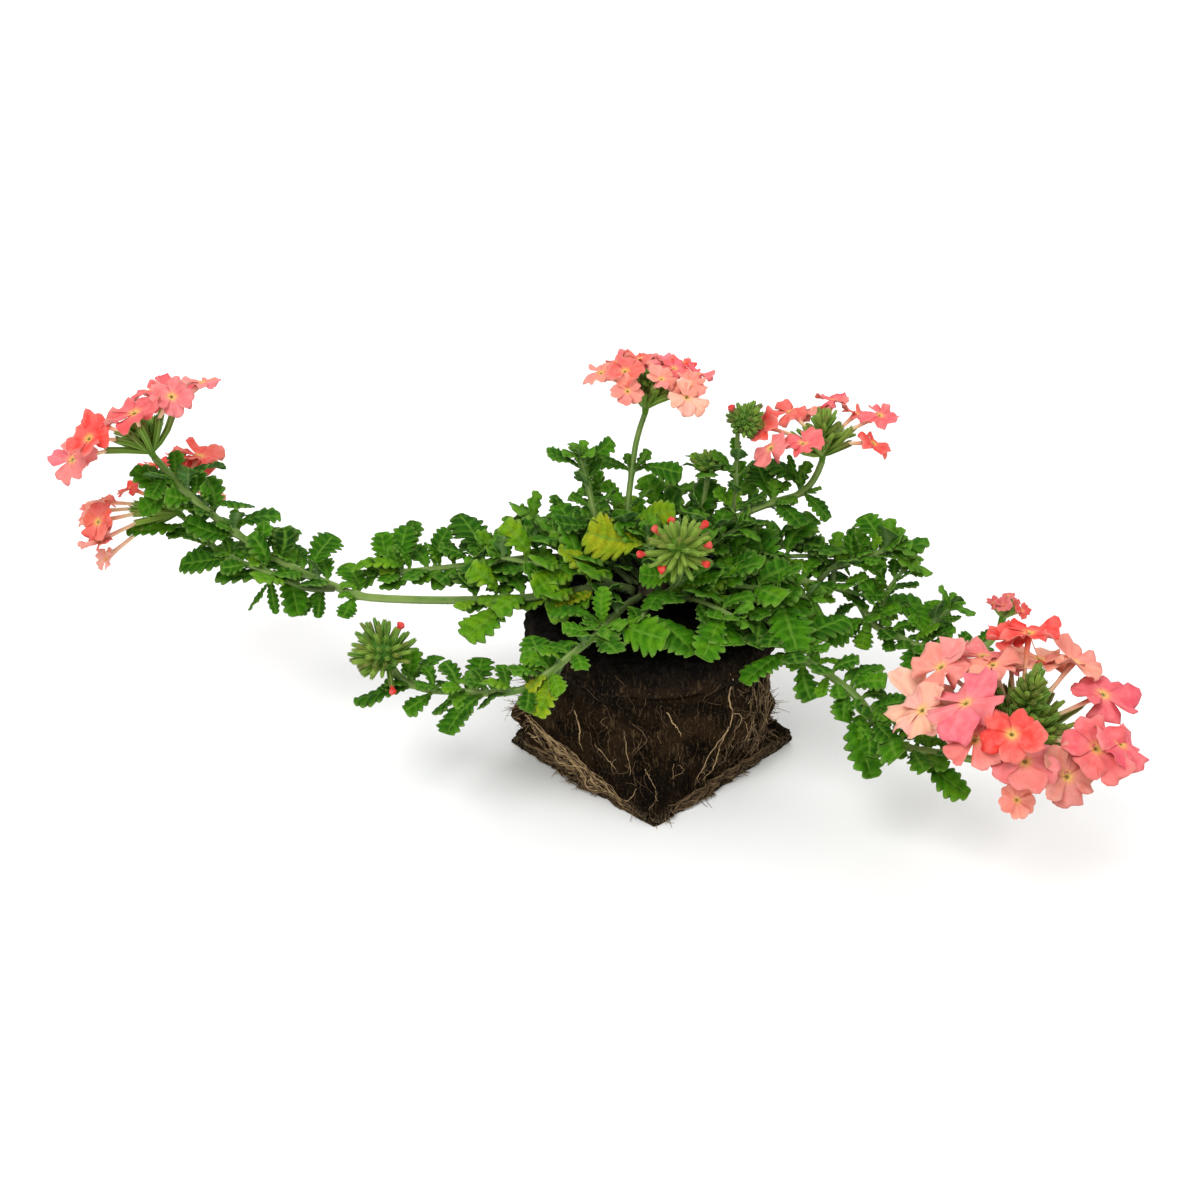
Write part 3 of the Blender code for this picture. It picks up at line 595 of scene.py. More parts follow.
def root_finish():
    """Tan roots, each a little different, with brown stains."""
    finish = Finish("roots", 0.8, specular=0.2)
    stains = finish.span(finish.noise(2.5, 4), 0.45, 0.75)
    tan = finish.ramp(
        finish.value("tone"), (0.0, (0.022, 0.012, 0.006)), (0.5, (0.160, 0.100, 0.050)),
        (1.0, (0.520, 0.360, 0.180)))
    finish.paint(tan, (stains, (0.070, 0.040, 0.022)))
    finish.bump(finish.noise(0.5), 0.15)
    return finish.material


def bark_finish():
    """Brown and green woody base."""
    finish = Finish("bark", 0.85, specular=0.2)
    streaks = finish.noise(1.5, 4, stretch=(1, 1, 0.25))
    finish.paint(finish.ramp(
        streaks, (0.3, (0.012, 0.009, 0.005)), (0.55, (0.045, 0.035, 0.018)), (0.8, (0.080, 0.085, 0.035))))
    finish.bump(streaks, 0.4)
    return finish.material


def stem_finish():
    """Olive green stems with lighter ridges, some brown, and whitish hairs."""
    finish = Finish("stem", 0.6, specular=0.2)
    grain = finish.noise(0.7)
    finish.paint(
        (0.085, 0.185, 0.022),
        (finish.span(finish.noise(14), 0.35, 0.68), (0.190, 0.285, 0.060)),
        (finish.math("MULTIPLY", finish.value("aged"), 0.8), (0.045, 0.060, 0.020)),
        ("ridge", (0.300, 0.400, 0.145)),
        (finish.span(grain, 0.62, 0.8, 0, 0.5), (0.060, 0.120, 0.022)),
        ("hair", HAIR_COLOUR))
    finish.bump(grain, 0.1)
    return finish.material


def leaf_finish():
    """Green blade with sunken veins, paler margins, painted shade in bands between the veins and a dull pale
    underside.
    """
    finish = Finish("leaf", 0.65, specular=0.07)
    uneven = finish.math("ADD", finish.value("tone"), finish.span(finish.noise(6), 0.3, 0.7, -0.12, 0.10))
    green = finish.ramp(
        uneven, (0.0, (0.0050, 0.030, 0.0012)), (0.30, (0.0180, 0.102, 0.0012)),
        (0.50, (0.0530, 0.210, 0.0020)), (0.72, (0.1450, 0.320, 0.0040)), (1.0, (0.4200, 0.440, 0.0120)))
    finish.paint(
        green,
        # Painted shade: the darkest green, in bands between the veins
        ("hollow", (0.0045, 0.026, 0.0008)),
        ("vein", (0.140, 0.300, 0.028)),
        ("rim", (0.220, 0.350, 0.070)),
        (finish.span(finish.noise(0.45), 0.50, 0.75, 0, 0.5), (0.008, 0.048, 0.0015)),
        ("under", finish.coats((0.055, 0.150, 0.028), ("vein", (0.180, 0.290, 0.095)))))
    finish.bump(finish.noise(0.9, 4), 0.40, 0.9)
    return finish.material


def calyx_finish():
    """Ribbed calyces: green between pale ribs, purplish towards some tips."""
    finish = Finish("calyx", 0.6, specular=0.16)
    green = finish.ramp(
        finish.value("tone"), (0.0, (0.016, 0.080, 0.006)), (0.5, (0.060, 0.180, 0.010)),
        (1.0, (0.200, 0.310, 0.035)))
    finish.paint(
        green, ("ridge", (0.290, 0.410, 0.085)), ("blush", (0.150, 0.050, 0.032)), ("hair", HAIR_COLOUR))
    finish.bump(finish.noise(0.5), 0.12)
    return finish.material


def petal_finish():
    """Soft petals with fine radiating streaks round a yellow eye, and painted shade in the throat at the
    middle.
    """
    finish = Finish("petals", 0.7, specular=0.05)
    finish.paint(
        finish.colour("colour"),
        (finish.span(finish.noise(3), 0.3, 0.7, 0, 0.22), (0.92, 0.42, 0.38)),
        (finish.span(finish.noise(5, 2), 0.50, 0.74, 0, 0.3), (0.60, 0.07, 0.055)),
        ("streak", (0.78, 0.09, 0.08)),
        ("ring", (0.80, 0.33, 0.14)),
        ("eye", (0.78, 0.54, 0.13)),
        # Painted shade: a darkened copy of the eye's yellow in the throat
        ("throat", (0.10, 0.085, 0.020)))
    finish.bump(finish.noise(0.8), 0.15)
    return finish.material


def smoothstep(value):
    """Values below 0 become 0 and above 1 become 1, with an even change between."""
    value = np.clip(value, 0, 1)
    return value * value * (3 - 2 * value)


def unit(vectors):
    """The vectors at length 1."""
    return vectors / np.maximum(np.linalg.norm(vectors, axis=-1, keepdims=True), 1e-12)


def bell(value, middle, width):
    """1 at the middle, falling to 0 on both sides of it."""
    return np.exp(-(((value - middle) / width) ** 2))


def around(sides):
    """Evenly spaced angles round a ring."""
    return np.arange(sides) * math.tau / sides


def upright(heights):
    """Points at these heights on the Z axis."""
    return np.stack((np.zeros_like(heights), np.zeros_like(heights), heights), -1)


def with_ends(points):
    """The points with one more at each end, for a smooth curve from the first to the last of them."""
    return [2 * points[0] - points[1], *points, 2 * points[-1] - points[-2]]


def catmull_rom(a, b, c, d, t):
    """Point at share t of the smooth curve's way from b to c."""
    squared = (2 * a - 5 * b + 4 * c - d) * t * t
    return 0.5 * (2 * b + (c - a) * t + squared + (3 * b - a - 3 * c + d) * t ** 3)


def sheet_faces(rows, columns):
    """Faces of a thin closed sheet: the points of its top grid come before those of its under grid."""
    i = np.arange(rows * columns).reshape(rows, columns)
    top = np.stack((i[:-1, :-1], i[:-1, 1:], i[1:, 1:], i[1:, :-1]), -1).reshape(-1, 4)
    below = rows * columns
    rim = np.concatenate((i[0, :], i[1:, -1], i[-1, -2::-1], i[-2:0:-1, 0]))
    after = np.roll(rim, -1)
    edge = np.stack((rim + below, after + below, after, rim), -1)
    return [top, top[:, ::-1] + below, edge]


def tube_faces(rings, sides):
    """Faces of a closed tube of rings, with a flat cap at each end."""
    i = np.arange(rings * sides).reshape(rings, sides)
    j = np.roll(i, -1, axis=1)
    wall = np.stack((i[:-1], j[:-1], j[1:], i[1:]), -1).reshape(-1, 4)
    return [wall, np.stack((i[0][::-1], i[-1]))]


def frames_along(points):
    """Direction of a line at each point, and two directions square to it that don't twist."""
    ahead = unit(np.gradient(points, axis=0))
    side = np.cross(ahead[0], (0.3, 0.2, 1.0) if abs(ahead[0][2]) < 0.9 else (1.0, 0.2, 0.1))
    sides = []
    for direction in ahead:
        side = unit(side - direction * (side @ direction))
        sides.append(side)
    sides = np.array(sides)
    return ahead, sides, np.cross(ahead, sides)


def sweep(points, radii, sides):
    """Rings of a tube round a line: an array of rings by sides by 3. Radii may differ round a ring."""
    _, side, other = frames_along(points)
    angle = around(sides)
    radii = np.broadcast_to(np.asarray(radii, float).reshape(len(points), -1), (len(points), sides))
    across = side[:, None] * np.cos(angle)[None, :, None] + other[:, None] * np.sin(angle)[None, :, None]
    return points[:, None] + across * radii[..., None]


def placed(pose, points):
    """Points of a piece's own frame at its pose."""
    matrix = np.array(pose)
    return np.reshape(points, (-1, 3)) @ matrix[:3, :3].T + matrix[:3, 3]


def add_hairs(shape, roots, outward, hairs, rng, finish=0):
    """Fine three-sided hairs that stand on their roots."""
    shortest, longest, radius = hairs
    lengths = rng.uniform(shortest, longest, len(roots)) * MM
    lean = unit(outward)
    side = unit(np.cross(lean, (0.31, 0.52, 0.79)))
    other = np.cross(lean, side)
    corners = [roots + (side * math.cos(turn) + other * math.sin(turn)) * radius * MM for turn in around(3)]
    points = np.stack([*corners, roots + lean * lengths[:, None]], 1)
    first = np.arange(len(roots))[:, None] * 4
    faces = np.concatenate([first + row for row in ((0, 1, 3), (1, 2, 3), (2, 0, 3), (2, 1, 0))])
    shape.add(points, [faces], finish, hair=1.0)


def new_object(name, data):
    """An object in the scene."""
    item = bpy.data.objects.new(name, data)
    bpy.context.scene.collection.objects.link(item)
    return item


def fine_piece(name, shape, finishes, slot, *nodes):
    """A finished piece of the plant that rides with it and stands for its CAD nodes."""
    mesh = shape.mesh(name)
    for finish in finishes:
        mesh.materials.append(finish)
    piece = new_object(name, mesh)
    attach(piece, "root")
    if nodes:
        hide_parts(*nodes)


def standing(origin, axis):
    """A matrix whose Z is the axis and whose X lies nearest to the world's X."""
    z = axis.normalized()
    x = (WORLD_X - z * WORLD_X.dot(z)).normalized()
    y = z.cross(x)
    return Matrix.Translation(origin) @ Matrix((x, y, z)).transposed().to_4x4()


def compass(azimuth, rise):
    """Unit vector from an azimuth about Z and a rise above the ground, in degrees."""
    flat = math.cos(math.radians(rise))
    turn = math.radians(azimuth)
    return Vector((flat * math.cos(turn), flat * math.sin(turn), math.sin(math.radians(rise))))


def relief(points, layers):
    """A rough depth in mm for each point from layers of fractal noise, the same at each run."""
    total = 0
    for shift, size, depth, octaves in layers:
        spots = np.reshape(points + shift, (-1, 3)) / (size * MM)
        values = [noise.fractal(Vector(spot), 0.75, 2.1, octaves) for spot in spots]
        total = total + np.array(values).reshape(np.shape(points)[:-1]) * depth
    return total


def lip_at(angle):
    """Height of the foot's lip in mm, higher towards the left."""
    return LIP_HEIGHT - LIP_RISE_TO_THE_LEFT * np.cos(angle)


def from_right(angle):
    """An angle on the ball as a turn from its right corner, at most half a turn either way."""
    return (angle + math.pi) % math.tau - math.pi


def dent(angle, height, depth, half_angle, level, half_height):
    """Depth of a soft dent in the side of the ball, or strength of a shadow there."""
    return depth * bell(angle, 0, half_angle) * bell(height, level, half_height)


def ball_radius(angle, height):
    """Radius of the root ball in mm: a square foot that turns round above its lip."""
    corner = np.abs(np.cos(angle)) + np.abs(np.sin(angle))
    foot = 1.03 * FOOT_HALF_DIAGONAL / np.sqrt(corner ** 2 + CORNER_ROUNDING ** 2)
    overhang = np.interp(height, *zip(*OVERHANG))
    above = np.maximum(height - lip_at(angle), 0)
    radius = BODY_RADIUS + (foot - BODY_RADIUS) * np.exp(-((above / SKIRT_REACH) ** 1.25))
    pocket = dent(from_right(angle), above, *POCKET) * (above > 0)
    notch = dent(from_right(angle - math.pi), height, *NOTCH)
    return radius + overhang - pocket - notch


def ball_points(angle, height, lift=0.0):
    """Points on the rough surface of the root ball, in metres."""
    angle, height, lift = np.broadcast_arrays(angle, height, lift)
    outward = np.stack((np.cos(angle), np.sin(angle), np.zeros_like(angle)), -1)
    points = outward * (ball_radius(angle, height) * MM)[..., None]
    points[..., 2] = height * MM
    free = 0.35 + 0.65 * smoothstep(height / 2)
    push = relief(points, BODY_RELIEF) + relief(points, FOOT_RELIEF) * (1 - smoothstep(height / 16))
    return points + outward * ((push * free + lift) * MM)[..., None]


def root_ball(peat):
    """Body of peat with a ragged square foot."""
    heights = np.concatenate((np.linspace(0, 20, 36), np.linspace(20.8, SOIL_BASE + 0.3, 34)))
    angle = around(BODY_SIDES)[None, :]
    wall = ball_points(angle, heights[:, None])
    underside = [wall[0] * share for share in (0.2, 0.6, 0.9, 0.985)]
    lid = [wall[-1] * (share, share, 1) for share in (0.9, 0.5)]
    rings = np.concatenate((underside, wall, lid))
    height = rings[..., 2] / MM
    above = height - lip_at(angle)
    # Painted shade: the peat is painted darker where shadows fall, at the right corner above the lip and low
    # in front
    right = dent(from_right(angle), above, *SHADOW_AT_THE_RIGHT) * (above > 0)
    near = dent(angle - 1.5 * math.pi, height, *SHADOW_IN_FRONT)
    shape = Shape()
    rng = np.random.default_rng(8)
    for _ in range(BODY_CRUMBS):
        spot = ball_points(rng.uniform(0, math.tau), rng.uniform(0.6, 8) * rng.uniform(0.2, 1), 0.2)
        size = rng.uniform(0.4, 1.1) * MM
        spot[2] = max(spot[2], 1.15 * size)
        add_crumb(shape, spot, size, rng)
    shape.tube(
        rings, foot=1 - smoothstep((height - 2) / 5), top=0.5 * smoothstep((height - 30) / 16),
        hollow=np.maximum(right, near))
    fine_piece("peat_body", shape, [peat], "root_ball", "root_ball")


def soil_cap(soil):
    """Crumbly cap of black peat with a rounded edge and loose crumbs on it."""
    rng = np.random.default_rng(3)
    angle = around(SOIL_SIDES)
    along = np.concatenate(([0, 1], np.linspace(2, len(SOIL_PROFILE) - 1, 46)))
    radius, height = (np.interp(along, range(len(SOIL_PROFILE)), column) for column in zip(*SOIL_PROFILE))
    flat = np.stack((np.cos(angle), np.sin(angle), np.zeros_like(angle)), -1)
    rings = flat[None] * (radius * MM)[:, None, None]
    rings[..., 2] = (height * MM)[:, None]
    outward = unit(rings - np.array((0, 0, (SOIL_TOP - 20) * MM)))
    rings = rings + outward * (relief(rings, SOIL_RELIEF) * MM * (along > 1.5)[:, None])[..., None]
    shape = Shape()
    shape.tube(rings, side=np.repeat(1 - smoothstep((height - 51) / 11), SOIL_SIDES))
    for _ in range(SOIL_CRUMBS):
        turn = rng.uniform(0, math.tau)
        distance = SOIL_RADIUS * math.sqrt(rng.uniform(0.02, 0.85))
        size = rng.uniform(0.5, 1.6)
        drop = 1.9 * max(0, distance / SOIL_RADIUS - 0.55) / 0.4
        level = SOIL_TOP - drop + 0.25 * size
        place = Vector((distance * math.cos(turn), distance * math.sin(turn), level)) * MM
        add_crumb(shape, place, size * MM, rng)
    fine_piece("soil_cap", shape, [soil], "soil", "soil_top")


def add_crumb(shape, place, size, rng):
    """One rough lump of peat."""
    rings, sides = 6, 8
    up = np.linspace(0.12, math.pi - 0.12, rings)[:, None]
    turn = around(sides)
    ball = (np.sin(up) * np.cos(turn), np.sin(up) * np.sin(turn), -np.cos(up))
    points = np.stack(np.broadcast_arrays(*ball), -1)
    points = points * rng.uniform(0.55, 1.15, (rings, sides, 1)) * size * rng.uniform(0.6, 1.0, 3)
    shape.tube(points + np.array(place))


def root_line(stations, count, rng, wander):
    """Angles and heights along a root that passes near its stations."""
    stations = np.array(stations, float)
    along = np.linspace(0, len(stations) - 1, count)
    ends = np.array(with_ends(stations))
    first = np.minimum(along.astype(int), len(stations) - 2)
    line = catmull_rom(*(ends[first + k] for k in range(4)), (along - first)[:, None])
    steps = rng.normal(0, 1, (count, 2)).cumsum(0)
    return line + (steps - np.linspace(0, 1, count)[:, None] * steps[-1]) * wander


def add_root(shape, line, radius, lift, tone, sides=4):
    """A root that follows angles and heights on the surface of the ball."""
    height = np.maximum(line[:, 1], radius + 0.05)
    points = ball_points(np.radians(line[:, 0]), height, lift)
    taper = np.interp(np.linspace(0, 1, len(line)), (0, 0.1, 0.8, 1), (0.7, 1, 0.8, 0.25))
    shape.tube(sweep(points, radius * MM * taper, sides), tone=tone)


def body_roots(tan):
    """Single roots on the body, the fine web between them and the tufts at the corners."""
    rng = np.random.default_rng(11)
    shape = Shape()
    for radius, stations in BODY_ROOTS:
        line = root_line(stations, 22, rng, 0.25)
        add_root(shape, line, radius * 0.48, 0.2 * radius, rng.uniform(0.7, 0.95), 6)
    for _ in range(FINE_ROOTS):
        angle = rng.uniform(0, 360)
        top = rng.uniform(10, 59)
        fall = rng.uniform(4, 14)
        halfway = (angle + rng.normal(0, 2.5), top - fall / 2)
        line = root_line([(angle, top), halfway, (angle + rng.normal(0, 4), top - fall)], 12, rng, 0.35)
        bright = rng.uniform(0.15, 0.8) * (1 - 0.5 * smoothstep((top - 34) / 14))
        add_root(shape, line, rng.uniform(0.06, 0.15), 0.04, bright)
    for _ in range(ROOTS_AT_THE_RIGHT):
        angle = rng.normal(338, 13)
        top = rng.uniform(8, 46)
        halfway = (angle + rng.normal(0, 5), top + rng.normal(0, 5))
        last = (angle + rng.normal(0, 7), top - rng.uniform(1, 10))
        line = root_line([(angle, top), halfway, last], 12, rng, 0.6)
        add_root(shape, line, rng.uniform(0.07, 0.18), rng.uniform(0, 0.4), rng.uniform(0.2, 0.85))
    for angle, height in TUFTS:
        for _ in range(ROOTS_TO_A_TUFT):
            start = np.radians(angle + rng.normal(0, 2.5))
            base = ball_points(start, max(height + rng.normal(0, 1.5), 0.5))
            out = np.array((math.cos(start), math.sin(start), rng.normal(0, 0.5)))
            bend = rng.normal(0, 1.2, 3)
            reach = np.linspace(0, rng.uniform(1.5, 5 + 0.09 * height), 8)[:, None]
            points = base + (unit(out) * reach + bend * reach ** 2 * 0.05) * MM
            points[:, 2] = np.maximum(points[:, 2], 0.3 * MM)
            shape.tube(sweep(points, np.linspace(0.18, 0.06, 8) * MM, 5), tone=rng.uniform(0.2, 0.85))
    fine_piece("body_roots", shape, [tan], "roots")


def root_bundles(tan):
    """Matted strands along two sides of the foot, sloping down to the near corner on the left."""
    rng = np.random.default_rng(5)
    for name, (radius, height, start, end) in BUNDLES.items():
        shape = Shape()
        count, spread, slope, thick, bright = STRANDS[name]
        for k in range(count):
            first = rng.uniform(-0.03, 0.4) if k % 3 else rng.uniform(-0.03, 0.03)
            last = min(first + rng.uniform(0.45, 1.0), 1.02)
            stations = []
            for share, offset in zip((0, 0.25, 0.5, 0.75, 1), rng.uniform(-1, 1, 5) * spread):
                place = first + (last - first) * share
                level = height + slope * (0.5 - place) + offset * (1.1 - 0.55 * place)
                stations.append((start + (end - start) * place, max(level, 0.8)))
            line = root_line(stations, 34, rng, 0.2)
            thickness = rng.uniform(0.5, 1.0) * thick
            lift = rng.uniform(0.1, 0.7 * radius)
            add_root(shape, line, thickness, lift, rng.uniform(0.02, 1.0) ** 0.8 * bright, 6)
        for _ in range(LOOSE_ROOTS_TO_A_BUNDLE):
            place = start + (end - start) * rng.uniform(0, 0.95)
            low = rng.uniform(0.3, 4.5)
            stations = [
                (place, low), (place + rng.uniform(2, 6), low + rng.normal(0, 0.8)),
                (place + rng.uniform(6, 14), max(low + rng.normal(0, 1.5), 0.3))]
            line = root_line(stations, 12, rng, 0.2)
            add_root(shape, line, rng.uniform(0.10, 0.22), rng.uniform(0.1, 0.9), rng.uniform(0.1, 0.6))
        fine_piece(name + "_strands", shape, [tan], "roots", name)


def crown(bark):
    """Ridged woody base in the middle of the soil."""
    up = np.linspace(0, 1, 18)
    angle = around(CROWN_SIDES)
    ridges = 1 + 0.10 * np.cos(7 * angle + 2 * up[:, None]) + 0.04 * np.cos(17 * angle)
    radii = np.interp(up, *CROWN_PROFILE)[:, None] * ridges
    shape = Shape()
    shape.tube(sweep(upright(SOIL_TOP + 0.3 + up * CROWN_HEIGHT) * MM, radii * MM, CROWN_SIDES))
    fine_piece("woody_crown", shape, [bark], "crown", "crown")


def smooth_route(stations):
    """Points at an even spacing on a Catmull-Rom curve through the stations, as in the CAD part."""
    ends = with_ends(stations)
    fine = [catmull_rom(*ends[i:i + 4], k / 12) for i in range(len(stations) - 1) for k in range(12)]
    fine.append(stations[-1])
    length = sum((q - p).length for p, q in zip(fine, fine[1:]))
    steps = max(2, round(length / (POINT_SPACING * MM)))
    points = [fine[0]]
    travelled = 0
    for p, q in zip(fine, fine[1:]):
        travelled += (q - p).length
        if travelled >= length * len(points) / steps and len(points) < steps:
            points.append(q)
    points.append(fine[-1])
    return points


def stretch_at(stem, place):
    """Middle and direction of the straight stretch at a place along a stem."""
    points = ROUTES[stem]
    i = min(int(place * (len(points) - 1)), len(points) - 2)
    return (points[i] + points[i + 1]) / 2, (points[i + 1] - points[i]).normalized()


def end_of(stem):
    """The end of a stem and its direction there."""
    before, end = ROUTES[stem][-2:]
    return end, (end - before).normalized()


def find_routes():
    """Routes and radii of the stems from the soil and of the branches from their sides."""
    for name, (radius, route) in {**STEMS, **SHOOTS}.items():
        stations = [Vector(point) * MM for point in route]
        tilt = (stations[1] - stations[0]).normalized().cross(UP).length
        stations[0].z = (SOIL_TOP + SEAT_GAP + radius * tilt) * MM
        RADII[name] = radius * MM
        ROUTES[name] = smooth_route(stations)
    for name, (radius, parent, place, route) in {**BRANCHES, **SIDE_SHOOTS}.items():
        stations = [Vector(point) * MM for point in route]
        middle, along = stretch_at(parent, place)
        outward = (stations[0] - middle).normalized()
        sine = outward.cross(along).length
        cosine = abs(outward.dot(along))
        start = middle + outward * ((RADII[parent] + GAP + radius * MM * cosine) / sine)
        RADII[name] = radius * MM
        ROUTES[name] = smooth_route([start, *stations])


def refined(points, steps):
    """More points on a smooth line through the given ones."""
    points = np.array(points)
    ends = np.array(with_ends(points))
    t = (np.arange(steps) / steps)[None, :, None]
    fine = catmull_rom(*(ends[k:len(ends) - 3 + k, None] for k in range(4)), t)
    return np.vstack((fine.reshape(-1, 3), points[-1]))


def stems(green):
    """Stems with four ridges, a swelling at each leaf pair and short hairs."""
    rng = np.random.default_rng(21)
    sides = 12
    ridge = 0.5 + 0.5 * np.cos(4 * around(sides))
    for name, route in ROUTES.items():
        points = refined(route, 5)
        points[0] += (points[0] - points[1]) * 0.8
        share = np.linspace(0, 1, len(points))
        swell = np.zeros(len(points))
        for stem, place, *_ in LEAF_PAIRS.values():
            if stem == name:
                middle = np.array(stretch_at(stem, place)[0])
                swell += 0.32 * bell(np.linalg.norm(points - middle, axis=1), 0, 1.6 * MM)
        girth = 1.06 - 0.16 * share + np.minimum(swell, 0.4)
        rings = sweep(points, RADII[name] * girth[:, None] * (0.93 + 0.10 * ridge), sides)
        aged = (1 - smoothstep(share * 2.2))[:, None] * np.ones(sides)
        shape = Shape()
        shape.tube(rings, aged=aged, ridge=(1 - 0.75 * aged) * ridge ** 3 * 0.55)
        count = HAIRS_TO_A_RING * len(points)
        row = rng.integers(1, len(points) - 1, count)
        column = rng.integers(0, sides, count)
        step = rings[row + 1, column] - rings[row, column]
        roots = rings[row, column] + step * rng.uniform(0, 1, (count, 1))
        outward = unit(roots - points[row]) + rng.normal(0, 0.25, (count, 3))
        add_hairs(shape, roots, outward, STEM_HAIRS, rng)
        nodes = [name] if name in STEMS or name in BRANCHES else []
        fine_piece(name + "_hairy", shape, [green], "stem", *nodes)


def on_midrib(midrib, turn, s, y, z):
    """Blade points at shares s of a bent midrib, y aside and z above it, and the way that each one faces."""
    a, b, c = (np.array(point) for point in midrib)
    s = s[..., None]
    centre = a * (1 - s) ** 2 + b * (2 * s * (1 - s)) + c * s ** 2
    ahead = unit((b - a) * (1 - s) + (c - b) * s)
    level = unit(np.cross(ahead, np.array(UP)))
    upper = np.cross(level, ahead)
    side = level * np.cos(turn) + upper * np.sin(turn)
    normal = upper * np.cos(turn) - level * np.sin(turn)
    middle = centre + side * y[..., None] + normal * z[..., None]
    return middle, unit(np.cross(np.gradient(middle, axis=1), np.gradient(middle, axis=0)))


def leaf(shape, midrib, half_width, roll, tone, rng, teeth, mesh):
    """One toothed blade on a short stalk, folded along its midrib, with sunken veins."""
    half_columns, per_tooth = mesh
    length = (midrib[-1] - midrib[0]).length
    relief_unit = length / RELIEF_LENGTH * MM
    toothed = np.arange(per_tooth * teeth + 1)[:, None] / (per_tooth * teeth)
    u = np.vstack((np.linspace(0, STALK_SHARE, 4)[:-1, None], STALK_SHARE + (1 - STALK_SHARE) * toothed))
    blade = np.clip((u - STALK_SHARE) / (1 - STALK_SHARE), 0, 1)
    across = np.array([-v for v in half_columns[::-1]] + [0, *half_columns])[None, :]
    width = np.abs(across)
    outline = blade ** 0.92 * (1 - blade) ** 0.55 / 0.378
    phase = teeth * blade
    lobes = np.abs(np.sin(math.pi * (phase % 1) ** 1.4)) ** 0.75
    uneven_teeth = 1 + 0.3 * np.sin(2.3 * phase + np.where(across > 0, 0.7, 2.9) * teeth)
    deep = TOOTH_DEPTH * (1.25 - 0.45 * blade) * rng.uniform(0.85, 1.15)
    reach = half_width * outline * (1 - deep * (1 - lobes) * uneven_teeth * width ** 1.6)
    stalk = 0.45 * MM * (1 - smoothstep(u / 0.3)) + 0.12 * MM
    y = across * (reach + stalk)
    s = u + FORWARD_SWEEP * width ** 1.25 * half_width * outline * (1 - 0.6 * blade) / length

    near_vein = bell(np.abs(phase % 1 - 0.55), 0, 0.13)
    lateral = near_vein * (1 - smoothstep((width - 0.72) / 0.28)) * smoothstep(blade / 0.06)
    central = bell(y, 0, 0.30 * MM + 0.35 * MM * (1 - u))
    swollen = np.clip(width * (1.15 - width) * 3.2, 0, 1)
    bulge = np.cos(math.pi * phase) ** 2 * swollen * smoothstep(blade / 0.1)
    first, second, third = rng.uniform(0, math.tau, 3)
    wave = np.sin(7.5 * u + np.where(across > 0, first, second)) * width ** 2
    fold = rng.uniform(0.12, 0.42) * np.abs(y) * (1 - 0.55 * width)
    curl = rng.uniform(0.05, 0.30) * half_width * outline * width ** 3
    crinkle = relief_unit * (
        BULGE * bulge - VEIN_DEPTH * lateral - MIDRIB_DEPTH * central * (1 - u) + WAVE * wave * outline)
    ripple = RIPPLE * relief_unit * np.sin(37 * u + third + 9 * across)
    arch = rng.uniform(0.02, 0.13) * length * np.sin(math.pi * np.clip(s, 0, 1))
    turn = math.radians(roll) * smoothstep(u)[..., None]
    middle, facing = on_midrib(midrib, turn, s, y, fold - curl + crinkle + ripple + arch)

    full = np.ones_like(y)
    stalky = (1 - smoothstep(u / 0.28)) * full
    half = (BLADE_HALF_THICKNESS + 0.30 * stalky) * MM
    rib = (0.42 * MM * (1 - u) + 0.08 * MM) * bell(y, 0, 0.5 * MM)
    points = np.stack((middle + facing * half[..., None], middle - facing * (half + rib)[..., None]))
    rim = smoothstep((width - 0.80) / 0.2) * smoothstep(blade / 0.08) * (0.20 + 0.50 * lobes) * full
    vein = np.clip(np.maximum(lateral * 0.40, central * 0.75) + 0.6 * stalky, 0, 1)
    # Painted shade: darker bands from the notches in towards the midrib, away from the lateral veins
    hollow = (1 - lobes) * 0.45 * (1 - near_vein) * (1 - width ** 2) * full
    shape.add(
        points, sheet_faces(*y.shape), tone=tone + rng.normal(0, 0.05), under=np.stack((0 * full, full)),
        rim=np.stack((rim, rim)), vein=np.stack((vein, vein)), hollow=np.stack((hollow, hollow)))


def leaf_towards(shape, stem, middle, along, heading, length, roll, tone, rng, teeth, mesh, wide=1.0):
    """A leaf from a stem's side that bends towards its heading, as the CAD blade does."""
    outward = (heading - along * heading.dot(along)).normalized()
    start = middle + outward * (LEAF_FOOT * RADII[stem])
    midrib = (start, start + outward * (BLADE_BEND * length), middle + heading * length)
    half_width = HALF_WIDTH * wide * length * rng.uniform(0.84, 1.10)
    leaf(shape, midrib, half_width, roll + rng.normal(0, 16), tone, rng, teeth, mesh)


def leaf_pairs(green):
    """Opposite leaves at their nodes, with small young leaves in the axils."""
    rng = np.random.default_rng(33)
    for name, (stem, place, *blades) in LEAF_PAIRS.items():
        middle, along = stretch_at(stem, place)
        axil = middle + along * 0.6 * MM
        shape = Shape()
        for azimuth, rise, length, roll, tone in blades:
            teeth = 7 if length > 17 else 6
            heading = compass(azimuth, rise)
            leaf_towards(shape, stem, middle, along, heading, length * MM, roll, tone, rng, teeth, LARGE)
            for turn in (-38, 34):
                young = (compass(azimuth + turn, rise + 18) * 0.7 + along * 0.5).normalized()
                size = length * rng.uniform(0.35, 0.55) * MM
                leaf_towards(shape, stem, axil, along, young, size, 0, min(tone + 0.1, 1), rng, 4, SMALL)
        fine_piece(name + "_toothed", shape, [green], "leaf", name)


